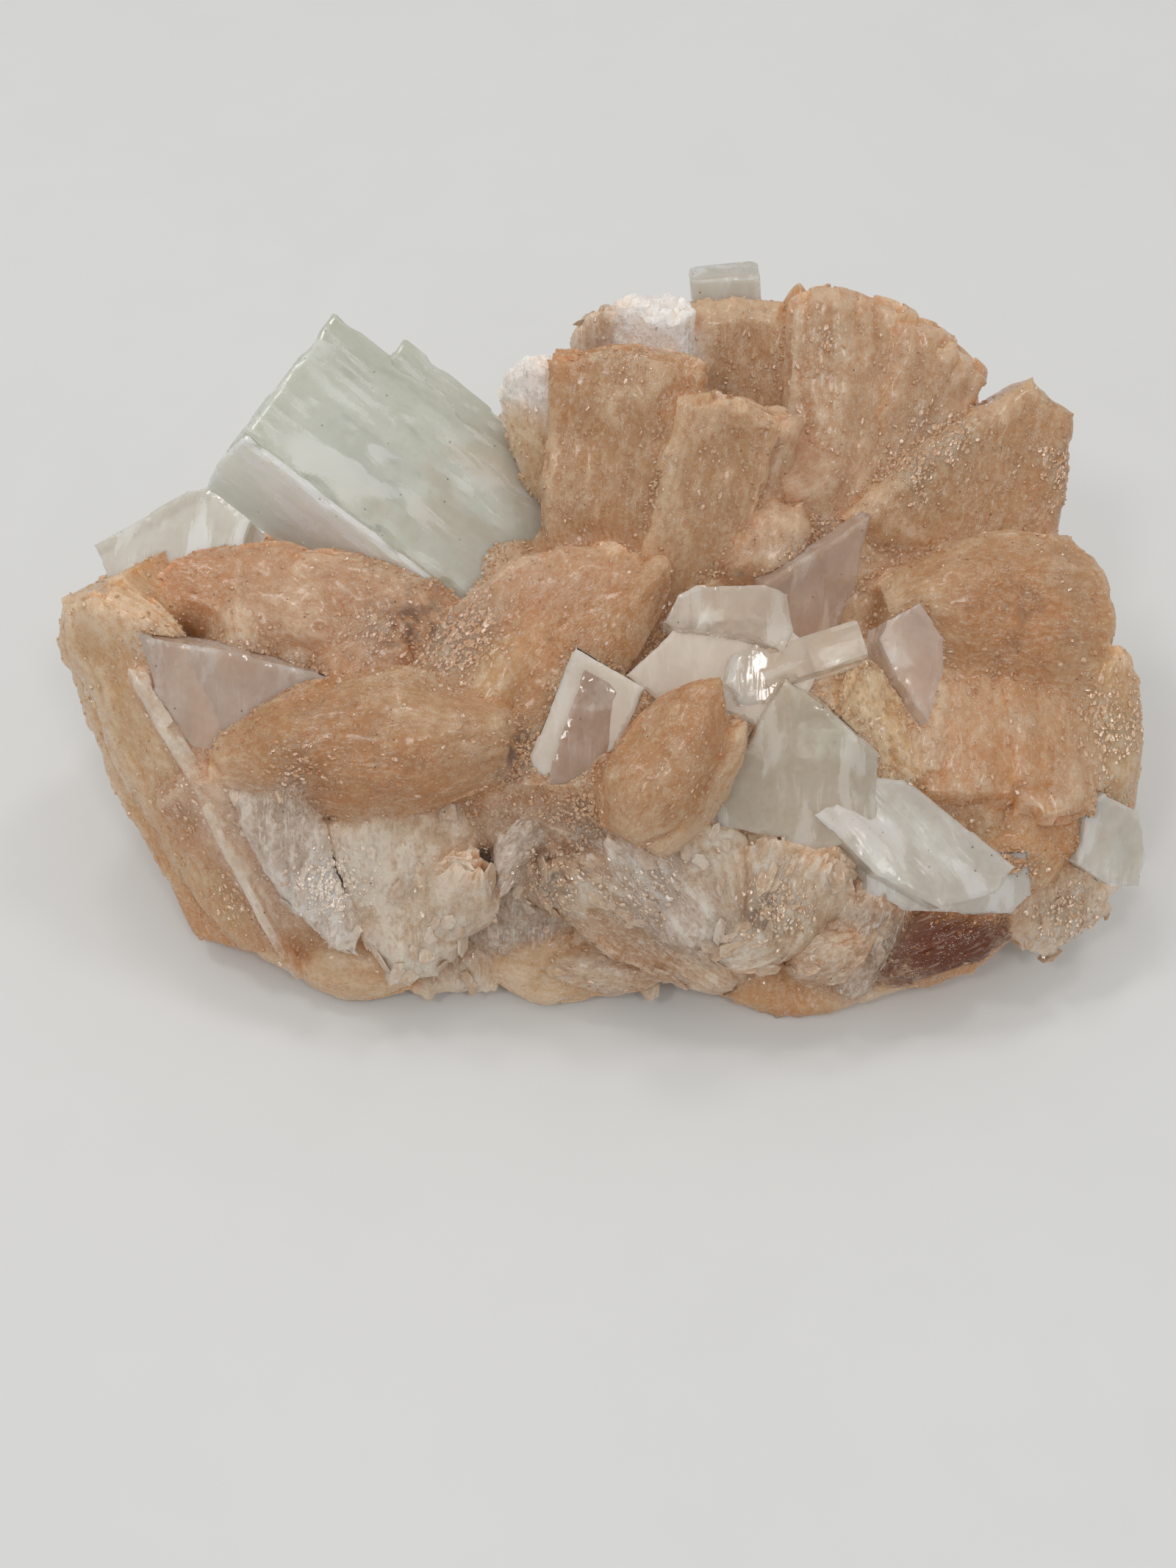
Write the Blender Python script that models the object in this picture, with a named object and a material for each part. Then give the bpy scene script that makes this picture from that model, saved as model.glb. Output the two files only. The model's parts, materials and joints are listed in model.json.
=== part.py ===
"""Stilbite cluster with apophyllite crystals: a loose hand specimen, 86 mm across.

The peach stilbite grew as one mass of overlapping blades and sheaves, so it is one solid.
Each apophyllite crystal, or group of crystals grown together, is a solid of its own that
sits in a socket of the stilbite. The frame is +Z up and +Y away from the side that was
broken from the vein, with the specimen resting on the plane Z = 0.

Every crystal stands in a frame of its own: X across it, Y along it, Z out of its face.
"""

import math
from dataclasses import dataclass
from enum import Enum

import bmesh
import bpy
from mathutils import Matrix, Vector, noise

# Driving dimensions
CLUSTER_WIDTH = 0.086
DESIGN_WIDTH = 86.0
MM = CLUSTER_WIDTH / DESIGN_WIDTH
SOCKET_GAP = 0.3
BASE_CUT_DEPTH = 20.0
BASE_CUT_SIDE = 200.0

# How finely each kind of solid is cut into faces
WIDE_BLADE = 9.0
LONG_BLADE = 15.0
LUMP_SUBDIVISIONS = 2

# Natural unevenness, as shares of a blade's width or a lump's radius
BLADE_UNEVENNESS = 0.05
LUMP_UNEVENNESS = 0.10
LUMP_FULLNESS = 0.8
NOISE_SPACING = 4.0
# Blender's noise starts from the clock unless it is given a seed
NOISE_SEED = 1796072047


class Habit(Enum):
    """The outline of a stilbite crystal, seen square to its broad face."""

    SLAB = "slab"
    FAN = "fan"
    LENS = "lens"
    SHIELD = "shield"


@dataclass(frozen=True)
class Outline:
    """How a habit widens, thins and ends. Shares are of the full size."""

    root_width: float
    tip_width: float
    belly: float
    tip_drop: float
    drop_power: float
    tip_thickness: float
    edge_thickness: float


OUTLINES = {
    Habit.SLAB: Outline(0.85, 0.95, 0.04, 0.04, 2.0, 0.80, 0.72),
    Habit.FAN: Outline(0.55, 0.98, 0.10, 0.17, 2.2, 0.62, 0.50),
    Habit.LENS: Outline(0.58, 0.55, 0.44, 0.10, 2.0, 0.50, 0.38),
    Habit.SHIELD: Outline(0.60, 0.72, 0.28, 0.22, 1.2, 0.60, 0.50),
}


@dataclass(frozen=True)
class Blade:
    """One stilbite blade. Points and sizes are in design millimetres.

    root and tip are the ends of its middle line, face is the way its broad face looks,
    and sink is how far the root runs on into the mass.
    """

    name: str
    habit: Habit
    root: tuple
    tip: tuple
    face: tuple
    width: float
    thickness: float
    sink: float = 4.0


@dataclass(frozen=True)
class Plate:
    """One crystal or broken piece with an outline of its own, in design millimetres.

    centre lies on its front face, face is the way that looks and up points along the
    outline's second coordinate. shoulder is how far in, and shoulder_drop how far down,
    the front face slopes at its rim.
    """

    name: str
    centre: tuple
    face: tuple
    up: tuple
    outline: tuple
    thickness: float
    shoulder: float = 0.0
    shoulder_drop: float = 0.0


@dataclass(frozen=True)
class Lump:
    """A rounded stretch of the mass that the blades grow from."""

    centre: tuple
    radii: tuple


@dataclass(frozen=True)
class Prism:
    """One square-sided apophyllite crystal. Points and sizes are in design millimetres.

    centre is the middle of its free end, up points out of that end, and face is the way
    one of its sides looks. depth is measured along face and width across it.
    """

    name: str
    centre: tuple
    face: tuple
    up: tuple
    width: float
    depth: float
    length: float
    corner: float = 0.0


@dataclass(frozen=True)
class CrystalGroup:
    """Apophyllite crystals grown together, which make one node."""

    name: str
    crystals: tuple


REAR = (
    Blade("flat_top", Habit.SLAB, (1.4, 2, 25), (2.6, 10.3, 36.6), (-0.1, -0.8, 0.6), 12.0, 6.0),
    Blade("step", Habit.SLAB, (7, 0, 24.5), (10.0, 7.2, 34.8), (0.15, -0.75, 0.65), 8.5, 5.5),
    Blade("finger", Habit.SLAB, (12.2, 4.0, 26), (14.6, 7.2, 33), (0.2, -0.8, 0.5), 3.2, 4.0),
    Blade("between", Habit.LENS, (-5, -1, 23), (1.0, 6.5, 28.5), (-0.1, -0.65, 0.75), 9.0, 6.0),
    Plate(
        "broad_rear", (12.5, 13.5, 33.0), (0.05, -0.75, 0.65), (0.05, 0.6, 0.75),
        ((-6.5, 1.5), (-5.5, 4), (-2, 5), (2, 4.5), (6, 1.5), (4.5, -6), (1, -8), (-5, -6)),
        6.5, 1.2, 0.9,
    ),
    Blade("rib_1", Habit.FAN, (18, 6, 23.5), (18.6, 18.0, 35.8), (0, -0.75, 0.65), 6.5, 7.0),
    Blade("rib_2", Habit.FAN, (19.5, 7, 24), (22.2, 18.9, 35.8), (0.1, -0.75, 0.65), 6.5, 6.5),
    Blade("rib_3", Habit.FAN, (21.5, 8, 24), (25.8, 17.6, 34.8), (0.15, -0.75, 0.65), 6.5, 6.0),
    Blade("rib_4", Habit.FAN, (23, 8, 23.5), (29.2, 16.6, 33.0), (0.2, -0.75, 0.65), 7.0, 5.5),
    Blade("rib_foot", Habit.LENS, (14.5, 5, 27), (19.5, 7.5, 27), (0, -0.7, 0.7), 7.0, 6.0, 1.0),
    Plate(
        "amber_side", (-5.0, 8.0, 28.0), (-0.5, -0.55, 0.65), (-0.3, 0.7, 0.7),
        ((-3, 5), (-0.5, 4.5), (2.5, 4), (5, 0), (5, -4), (3, -7.5), (1.5, -7), (-0.5, -3.5), (-3.5, 2.5)),
        5.0, 0.8, 0.6,
    ),
    Blade("pearl_right", Habit.SLAB, (4, 12.5, 30), (4.5, 14.8, 37.5), (-0.3, -0.75, 0.6), 6.5, 4.5),
    Blade("pearl_left", Habit.FAN, (-3.4, 8.5, 27), (-5.2, 12.2, 34), (-0.3, -0.75, 0.6), 6.5, 5.0),
    Blade("crest_pale", Habit.FAN, (2.3, 13, 29), (0.8, 15.4, 36), (-0.2, -0.8, 0.5), 6.5, 4.5),
    Blade("crest_tip", Habit.SHIELD, (16.3, 17, 29), (15.8, 17.9, 36), (0, -0.8, 0.5), 4.5, 4.0),
    Plate(
        "pink_knob", (13.5, -0.6, 27.9), (0.0, -0.6, 0.8), (0.1, 0.8, 0.5),
        ((-4, -1), (-2.5, 1.5), (-0.5, 3.5), (2, 3), (3.5, 1), (3, -1.5), (0.5, -4.5), (-3, -4)),
        6.0, 1.3, 1.3,
    ),
)

RIGHT = (
    Plate(
        "shield", (29.5, 6.5, 28.0), (0.2, -0.62, 0.75), (0.4, 0.6, 0.6),
        ((-8, -8), (-5, -1), (-1.5, 4.5), (2, 9), (3.5, 8.5), (6.5, 8), (8, 3), (9.5, -2.5), (4, -8)),
        5.5, 1.0, 0.8,
    ),
    Blade("shoulder", Habit.FAN, (19.5, -4.0, 22.5), (40.4, -3.6, 20.8), (0.1, -0.5, 0.86), 14.5, 11.0),
    Blade("column_1", Habit.FAN, (26.6, -5.0, 22.0), (23.8, -16.2, 15.6), (-0.1, -0.6, 0.8), 5.2, 8.0),
    Blade("column_2", Habit.FAN, (28.8, -5.0, 22.2), (27.4, -17.0, 15.4), (0, -0.6, 0.8), 5.4, 8.5),
    Blade("column_3", Habit.FAN, (31.2, -5.0, 22.0), (31.1, -17.2, 15.0), (0.05, -0.6, 0.8), 5.4, 8.5),
    Blade("column_4", Habit.FAN, (33.8, -5.0, 21.4), (34.8, -16.8, 14.4), (0.15, -0.6, 0.8), 5.4, 8.0),
    Blade("column_5", Habit.FAN, (36.0, -5.0, 20.4), (37.8, -15.6, 13.6), (0.3, -0.6, 0.75), 4.8, 7.5),
    Blade("column_foot_1", Habit.LENS, (22, -17.6, 12.5), (29, -18.4, 13.5), (0, -0.65, 0.75), 7.0, 7.0, 0.0),
    Blade("column_foot_2", Habit.LENS, (29, -18.6, 11.5), (37, -17.8, 11.5), (0.1, -0.65, 0.75), 7.5, 7.0, 0.0),
    Blade("right_edge", Habit.LENS, (38.8, -16.5, 10), (39.9, -6.5, 21.5), (0.45, -0.55, 0.7), 7.5, 5.5),
    Blade("small_sheaf", Habit.SHIELD, (22.8, -15.4, 16), (20.0, -8.6, 22.5), (0.1, -0.5, 0.85), 7.5, 6.0),
)

CENTRE = (
    Blade("front_sheaf", Habit.LENS, (2.4, -21.2, 20), (9.4, -12.2, 26), (0.1, -0.55, 0.83), 10.5, 8.0, 1.5),
    Plate(
        "centre_bands", (-3.0, -7.5, 25.5), (0, -0.5, 0.86), (0.6, 0.7, 0.3),
        (
            (-5.5, -9), (-5, -4), (-5, 1), (-4.5, 4.5), (0, 8.5), (4.5, 8.5), (5.5, 5), (6, 1.5),
            (4.5, -6), (-1, -8.5),
        ),
        9.0, 1.8, 1.3,
    ),
    Blade("band_1", Habit.LENS, (-12, -10.6, 20.0), (-3.8, -1.2, 25.6), (-0.2, -0.45, 0.84), 7.5, 7.0),
    Blade("band_2", Habit.LENS, (-7.8, -10.6, 21.6), (1.6, -0.8, 26.6), (-0.1, -0.5, 0.86), 7.0, 5.0),
    Blade("band_3", Habit.LENS, (-3.2, -10.4, 21.8), (5.2, -2.0, 26.2), (0.05, -0.5, 0.86), 7.0, 5.0),
    Blade("wide_sheaf", Habit.LENS, (-8.5, -14.5, 19.5), (-29.5, -14.6, 17.5), (-0.1, -0.6, 0.8), 15.0, 12.0, 2.0),
    Blade("wide_foot", Habit.LENS, (-10, -18.5, 15), (-27.5, -17.5, 14), (-0.1, -0.75, 0.65), 11.0, 10.0, 2.0),
    Blade("pink_1", Habit.LENS, (-20.5, -4.0, 20.6), (-33.5, -1.4, 23.6), (-0.1, -0.6, 0.8), 10.5, 10.0),
    Blade("pink_2", Habit.LENS, (-12.6, -4.3, 20.6), (-24, -1.4, 24.2), (0.05, -0.65, 0.75), 9.5, 9.0),
    Blade("pink_foot", Habit.FAN, (-20.0, -9.6, 19.4), (-15.8, -5.0, 23.6), (-0.1, -0.5, 0.85), 7.5, 6.0),
)

LEFT = (
    Plate(
        "left_wall", (-35.5, -14.0, 12.0), (-0.38, -0.8, 0.46), (-0.4, 0.4, 0.8),
        (
            (-3, 14), (-1, 17), (6, 17.5), (8, 14), (5.5, 8), (6, 2), (6.5, -3.5), (8, -11), (7.5, -18.5),
            (2.5, -14.5), (-1.5, -13), (-2.5, -5), (-3.5, 1.5),
        ),
        8.0, 0.9, 0.7,
    ),
    Blade("left_crown", Habit.FAN, (-31.5, -12.5, 18), (-37, -5.2, 26.6), (-0.3, -0.6, 0.75), 11.0, 9.0),
    Blade("left_inner", Habit.SLAB, (-24.5, -21, 5), (-32.5, -13.5, 19.5), (-0.35, -0.8, 0.5), 6.5, 6.0, 0.0),
)

FRONT = (
    Plate(
        "grey_patch", (-23.5, -22.0, 12.0), (-0.15, -0.85, 0.5), (0, 0.4, 0.9),
        ((-5, 6.5), (1, 8), (2.5, 5), (3, 1.5), (6, -6), (5, -9), (1.5, -10.5), (-1, -3.5), (-4.5, 4)),
        7.0, 1.0, 0.8,
    ),
    Plate(
        "broken_shell", (-15.5, -22.5, 11.0), (0.05, -0.8, 0.6), (0, 0.5, 0.85),
        (
            (-5.5, 5), (-3, 6.5), (2, 8), (5, 7.5), (6.5, 4), (4.5, -1.5), (1.5, -7.5), (-0.5, -8.5),
            (-2.5, -5), (-4, -0.5),
        ),
        8.0, 1.4, 1.0,
    ),
    Plate(
        "broken_foot", (-10.0, -25.0, 3.5), (0.0, -0.8, 0.6), (0, 0.6, 0.8),
        ((-5.5, -1.5), (-3, -2.5), (3.5, -1.5), (4.5, 0), (3.5, 2), (0, 3), (-3, 2)),
        6.0, 0.8, 0.5,
    ),
    Plate(
        "broken_grey", (-5.0, -22.0, 9.0), (0.05, -0.85, 0.5), (0, 0.5, 0.85),
        ((-4, 7), (1, 8), (4.5, 6), (5, 0), (2.5, -5), (-1, -6.5), (-5, -4), (-5.5, 2)),
        8.0, 1.5, 1.2,
    ),
    Plate(
        "broken_middle", (4.0, -21.0, 11.0), (0.0, -0.75, 0.65), (0, 0.65, 0.75),
        (
            (-4.5, 5), (0, 7), (4, 6), (8, 1), (8, -3), (5, -6.5), (0.5, -8), (-3, -7.5), (-6, -5.5), (-6, 0),
        ),
        9.0, 1.6, 1.2,
    ),
    Plate(
        "front_rim", (14.5, -26.0, 3.5), (0.0, -0.8, 0.6), (0, 0.6, 0.8),
        (
            (-9, 3), (-7.5, 1), (-4.5, -1.5), (0, -3.5), (4, -3), (8.5, -1.5), (15.5, 0.5), (17, 3), (8, 5),
            (0, 5.5),
        ),
        8.0, 1.2, 0.9,
    ),
    Blade("shard_1", Habit.SHIELD, (-3.5, -19.5, 16.5), (-7.5, -23.2, 13.5), (0.1, -0.8, 0.6), 6.5, 4.5, 2.0),
    Blade("spray_1", Habit.FAN, (10.0, -25.0, 4.6), (-2.4, -21.6, 14.2), (-0.1, -0.8, 0.6), 7.5, 5.5, 1.0),
    Blade("spray_2", Habit.FAN, (10.4, -25.0, 4.6), (1.4, -19.6, 17.0), (0.0, -0.75, 0.65), 7.5, 6.0, 1.0),
    Blade("spray_3", Habit.FAN, (11.0, -25.0, 4.6), (7.0, -19.0, 17.0), (0.1, -0.75, 0.65), 7.0, 6.0, 1.0),
    Blade("spray_4", Habit.FAN, (13.8, -24.4, 8.2), (15.8, -19.6, 15.6), (0.1, -0.75, 0.65), 8.0, 6.0, 1.0),
    Blade("spray_5", Habit.FAN, (20.0, -25.6, 3.4), (22.0, -21.6, 11.4), (0.1, -0.75, 0.65), 6.0, 6.0, 1.0),
    Blade("shard_2", Habit.SHIELD, (-2.0, -23.5, 3.5), (5.5, -25.2, 4.6), (0.0, -0.8, 0.6), 5.0, 5.0, 2.0),
    Blade("shell_1", Habit.LENS, (9.0, -25.2, 7.6), (15.6, -24.6, 10.2), (-0.1, -0.8, 0.6), 5.0, 5.0, 0.0),
    Blade("shell_2", Habit.LENS, (14.8, -25.8, 6.4), (20.6, -25.2, 9.0), (0.1, -0.8, 0.6), 5.0, 5.0, 0.0),
    Blade("amber_ridge", Habit.SLAB, (21.5, -25, 4), (31.5, -22.4, 9.4), (0.1, -0.7, 0.7), 6.0, 7.0, 0.0),
    Plate(
        "right_fan", (36.0, -22.0, 8.0), (0.2, -0.75, 0.62), (0.2, 0.6, 0.75),
        ((-6, -0.5), (-3, 3), (2, 5), (6, 3), (5, 0), (3.5, -2), (1, -4), (-1.5, -4), (-5, -2.5)),
        7.5, 1.2, 0.9,
    ),
)

BACK = (
    Blade("back_1", Habit.FAN, (-28, -4, 4), (-36, 3, 18), (-0.6, 0.7, 0.4), 13.0, 9.0),
    Blade("back_2", Habit.SLAB, (-20, 0, 3), (-25, 8, 19), (-0.3, 0.85, 0.4), 14.0, 9.0),
    Blade("back_3", Habit.FAN, (-10, 4, 3), (-13, 12.5, 21.5), (-0.1, 0.9, 0.4), 15.0, 10.0),
    Blade("back_4", Habit.SLAB, (-1, 7, 3), (-3, 15.5, 25), (0, 0.9, 0.4), 14.0, 10.0),
    Blade("back_5", Habit.FAN, (8, 9, 3), (8, 18.5, 27), (0.05, 0.9, 0.4), 15.0, 11.0),
    Blade("back_6", Habit.SLAB, (17, 9, 3), (19, 19.0, 26), (0.1, 0.9, 0.4), 14.0, 11.0),
    Blade("back_7", Habit.FAN, (26, 6, 3), (31, 14.5, 23), (0.4, 0.8, 0.4), 15.0, 10.0),
    Blade("back_8", Habit.SLAB, (31, 0, 3), (38, 6, 18), (0.75, 0.5, 0.4), 13.0, 9.0),
    Blade("back_9", Habit.FAN, (33, -9, 4), (40, -5.5, 16), (0.9, 0.1, 0.4), 12.0, 9.0),
    Blade("back_low_1", Habit.LENS, (-26, 1.5, 4), (-7, 9, 5), (-0.3, 0.9, 0.2), 11.0, 9.0, 0.0),
    Blade("back_low_2", Habit.LENS, (-7, 9.5, 5), (15, 15.5, 4), (-0.1, 0.95, 0.2), 12.0, 9.0, 0.0),
    Blade("back_low_3", Habit.LENS, (13, 14.5, 5), (32, 7.5, 4), (0.3, 0.9, 0.2), 12.0, 9.0, 0.0),
    Blade("back_top_1", Habit.SLAB, (-1.5, 8, 20), (-2.0, 12.6, 30.8), (-0.1, 0.8, 0.6), 10.0, 7.0),
    Blade("back_top_2", Habit.FAN, (12, 12, 22), (11, 19.5, 33), (0, 0.8, 0.6), 11.0, 7.0),
    Blade("back_top_3", Habit.FAN, (24, 11, 20), (26.5, 18.4, 30), (0.2, 0.8, 0.6), 11.0, 7.0),
)

GROWTH = REAR + RIGHT + CENTRE + LEFT + FRONT + BACK

LUMPS = (
    Lump((1, -9, 10), (20, 14, 12.5)),
    Lump((-19, -11, 9), (14, 12, 11.5)),
    Lump((22, -9, 9), (16, 14, 11)),
    Lump((9, 5, 14), (17, 10, 13)),
    Lump((-21, -3, 12), (12, 7, 11)),
    Lump((26, 3, 12), (12, 9, 12)),
    Lump((-9, 0, 16), (10, 8, 8.5)),
    Lump((-15, -7, 16), (7, 6, 5)),
    Lump((-16, 4, 11), (9, 7, 9)),
)

LARGE_AXIS = (-0.776, 0.34, 0.531)
LARGE_FACE = (0.436, -0.319, 0.841)

CRYSTAL_GROUPS = (
    CrystalGroup(
        "apophyllite_large",
        (
            Prism("main", (-25.8, 11.1, 31.1), LARGE_FACE, LARGE_AXIS, 13.2, 11.3, 31.0),
            Prism("step", (-20.4, 13.3, 29.1), LARGE_FACE, LARGE_AXIS, 7.0, 10.0, 25.0),
        ),
    ),
    CrystalGroup(
        "apophyllite_rear_left",
        (
            Plate(
                "slab", (-35.0, 2.0, 25.0), (-0.1, -0.45, 0.9), (0.1, 0.85, 0.4),
                ((-4.5, -1), (2.5, 4), (4, 4.5), (8, 2), (7, -3.5), (3, -5), (-3, -3.5), (-3.5, -2.5)),
                4.5,
            ),
        ),
    ),
    CrystalGroup(
        "apophyllite_wedge",
        (
            Plate(
                "wedge", (-27.0, -10.5, 24.5), (0.2, -0.75, 0.62), (0, 0.6, 0.75),
                ((-7, 3.5), (0.5, 1.5), (8, -0.5), (5, -4.5), (0, -6), (-4, -5), (-6.5, -1)),
                3.6,
            ),
        ),
    ),
    CrystalGroup(
        "apophyllite_crest",
        (Prism("block", (10.2, 20.6, 36.0), (0, -0.93, 0.35), (-0.1, 0.35, 0.93), 5.4, 3.5, 8.0),),
    ),
    CrystalGroup(
        "apophyllite_left_block",
        (
            Plate(
                "block", (-0.5, -14.5, 24.0), (0.35, -0.8, 0.5), (0.2, 0.6, 0.8),
                ((-1.5, 4.5), (3.5, 2), (2.5, -7), (-1, -7), (-3.5, -4)),
                4.0,
            ),
        ),
    ),
    CrystalGroup(
        "apophyllite_centre_group",
        (
            Plate(
                "crown", (9.5, -9.0, 26.6), (-0.05, -0.5, 0.85), (0, 0.8, 0.5),
                ((-4.5, 1), (-3, 3), (-2, 3.5), (3, 3.5), (4.5, 3), (5, 0), (4, -2), (0, -4), (-4, -4)),
                5.0,
            ),
            Plate(
                "fin", (17.5, -2.5, 26.0), (0.35, -0.75, 0.55), (0.1, 0.6, 0.8),
                ((-5, -1), (-1, 1.5), (3.5, 4.5), (3, -1), (2, -4.5), (-1.5, -6), (-5, -4)),
                1.8,
            ),
            Prism("arm", (20.2, -8.2, 24.4), (-0.1, -0.5, 0.86), (0.93, 0.3, 0.05), 3.0, 4.5, 8.0),
            Plate(
                "slope", (15.0, -16.6, 20.9), (-0.05, -0.72, 0.7), (0, 0.7, 0.7),
                ((-1, 6), (2.5, 3.5), (6, 0.5), (6, -6), (1.5, -7), (-4, -5.5), (-8, -5), (-4, 0.5)),
                8.0,
            ),
            Plate(
                "small_right", (23.5, -10.8, 25.2), (0.15, -0.5, 0.85), (0.05, 0.8, 0.5),
                ((-2.5, 1.5), (-2, 3), (0.5, 4.5), (2.5, 2), (2.5, -1), (1.5, -4.5), (-1, -1.5)),
                5.0,
            ),
            Plate(
                "front_slab", (24.0, -20.5, 17.0), (0.1, -0.5, 0.85), (-0.6, 0.6, 0.3),
                ((-5, 6), (0, 5.5), (2, 3.5), (3, -1.5), (4, -7), (1.5, -7.5), (-2.5, -5.5), (-4.5, -0.5)),
                5.0,
            ),
            Plate(
                "broken_base", (27.0, -22.6, 12.0), (0.1, -0.75, 0.65), (0, 0.7, 0.7),
                ((-6.5, 3), (6, 3), (6.5, -0.5), (5, -2), (2, -2), (-3.5, -1.5), (-6.5, 0)),
                6.0,
            ),
            Plate(
                "companion", (17.5, -18.8, 14.5), (0.0, -0.6, 0.8), (-0.6, 0.6, 0.3),
                ((-1, 4), (2.5, 4), (5, 0.5), (5, -6.5), (0.5, -9), (-0.5, -5)),
                5.0,
            ),
        ),
    ),
    CrystalGroup(
        "apophyllite_right_edge",
        (
            Plate(
                "block", (39.5, -19.0, 13.0), (0.3, -0.7, 0.65), (0, 0.7, 0.7),
                ((-2, 3.5), (-0.5, 4), (2.5, 2.5), (3.5, -1), (3, -3.5), (0.5, -3.5), (-2.5, -1.5)),
                6.0,
            ),
        ),
    ),
)

STILBITE_COLOUR = (0.72, 0.42, 0.26, 1.0)
STILBITE_ROUGHNESS = 0.45
APOPHYLLITE_COLOUR = (0.74, 0.80, 0.72, 1.0)
APOPHYLLITE_ROUGHNESS = 0.15
APOPHYLLITE_CLARITY = 0.6


def crystal_frame(centre, face, up):
    """The matrix whose Z looks the way of face and whose Y is nearest to up, set at centre."""
    outward = Vector(face).normalized()
    along = Vector(up)
    along = (along - outward * along.dot(outward)).normalized()
    across = along.cross(outward)
    turn = Matrix((across, along, outward)).transposed()
    return Matrix.Translation(Vector(centre) * MM) @ turn.to_4x4()


def blade_frame(blade):
    """The frame of a blade: its length is exact and its face is turned to suit."""
    along = (Vector(blade.tip) - Vector(blade.root)).normalized()
    face = Vector(blade.face)
    return crystal_frame(blade.root, face - along * face.dot(along), along)


def make_material(name, colour, roughness, transmission=0.0):
    """A plain finish for one mineral."""
    material = bpy.data.materials.new(name)
    material.use_nodes = True
    surface = material.node_tree.nodes["Principled BSDF"]
    surface.inputs["Base Color"].default_value = colour
    surface.inputs["Roughness"].default_value = roughness
    surface.inputs["Metallic"].default_value = 0.0
    surface.inputs["Transmission Weight"].default_value = transmission
    return material


def add_object(name, form, place, collection, material=None):
    """Turns a finished bmesh into an object standing at place."""
    mesh = bpy.data.meshes.new(name)
    bmesh.ops.recalc_face_normals(form, faces=form.faces)
    form.to_mesh(mesh)
    form.free()
    if material:
        mesh.materials.append(material)
    made = bpy.data.objects.new(name, mesh)
    made.matrix_world = place
    collection.objects.link(made)
    return made


def hide_helper(made):
    """Keeps a piece that only shapes another out of the finished object."""
    made.hide_render = True
    made.display_type = "WIRE"
    return made


def gridded_cube(cuts):
    """A cube from -1 to 1 whose X, Y and Z edges are cut the given numbers of times."""
    form = bmesh.new()
    bmesh.ops.create_cube(form, size=2.0)
    for axis, count in enumerate(cuts):
        if not count:
            continue
        edges = [e for e in form.edges if abs(e.verts[0].co[axis] - e.verts[1].co[axis]) > 1]
        bmesh.ops.subdivide_edges(form, edges=edges, cuts=count, use_grid_fill=True)
    return form


def unevenness(spot, seed):
    """A smooth, repeatable wobble between about -1 and 1 in each direction."""
    return noise.noise_vector(spot / NOISE_SPACING + Vector((seed, seed * 1.7, seed * 2.3)))


def blade_point(blade, unit_spot, seed):
    """Where a point of the cube from -1 to 1 lands on a blade, in its own frame and design mm."""
    shape = OUTLINES[blade.habit]
    length = (Vector(blade.tip) - Vector(blade.root)).length + blade.sink
    side = unit_spot.x
    share_along = (unit_spot.y + 1) / 2
    width = shape.root_width + (shape.tip_width - shape.root_width) * share_along
    width += shape.belly * math.sin(math.pi * share_along)
    thinning = 1 - (1 - shape.tip_thickness) * share_along ** 2
    thinning *= 1 - (1 - shape.edge_thickness) * side ** 2
    drop = shape.tip_drop * abs(side) ** shape.drop_power * share_along
    spot = Vector(
        (
            side * width * blade.width / 2,
            length * (share_along - drop) - blade.sink,
            unit_spot.z * thinning * blade.thickness / 2,
        )
    )
    return spot + unevenness(spot, seed) * blade.width * BLADE_UNEVENNESS


def blade_form(blade, seed):
    """One blade as a closed faceted solid, cut more finely where it is wide or long."""
    length = (Vector(blade.tip) - Vector(blade.root)).length
    cuts_across = 3 if blade.width > WIDE_BLADE else 2
    cuts_along = 4 if length > LONG_BLADE else 3
    form = gridded_cube((cuts_across, cuts_along, 0))
    for vertex in form.verts:
        vertex.co = blade_point(blade, vertex.co, seed) * MM
    return form


def plate_form(plate):
    """One plate: its outline drawn as a face, thickened backwards, its rim sloped off."""
    form = bmesh.new()
    corners = [form.verts.new((x * MM, y * MM, 0)) for x, y in plate.outline]
    front = bmesh.ops.contextual_create(form, geom=corners)["faces"][0]
    back = bmesh.ops.extrude_face_region(form, geom=[front], use_keep_orig=True)
    back_corners = [item for item in back["geom"] if isinstance(item, bmesh.types.BMVert)]
    bmesh.ops.translate(form, verts=back_corners, vec=(0, 0, -plate.thickness * MM))
    if plate.shoulder:
        bmesh.ops.inset_region(form, faces=[front], thickness=plate.shoulder * MM)
        for corner in corners:
            corner.co.z -= plate.shoulder_drop * MM
    return form


def prism_form(prism):
    """One square-sided crystal in its own frame, its free end at Y = 0."""
    form = bmesh.new()
    size = Matrix.Diagonal((prism.width * MM, prism.length * MM, prism.depth * MM, 1))
    shift = Matrix.Translation((0, -prism.length * MM / 2, 0))
    bmesh.ops.create_cube(form, size=1.0, matrix=shift @ size)
    return form


def lump_form(lump, seed):
    """One rough rounded stretch of the mass, a little fuller than an ellipsoid."""
    form = bmesh.new()
    bmesh.ops.create_icosphere(form, subdivisions=LUMP_SUBDIVISIONS, radius=1.0)
    for vertex in form.verts:
        full = [math.copysign(abs(c) ** LUMP_FULLNESS, c) for c in vertex.co]
        spot = Vector(c * r for c, r in zip(full, lump.radii))
        vertex.co = (spot + unevenness(spot, seed) * max(lump.radii) * LUMP_UNEVENNESS) * MM
    return form


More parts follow.
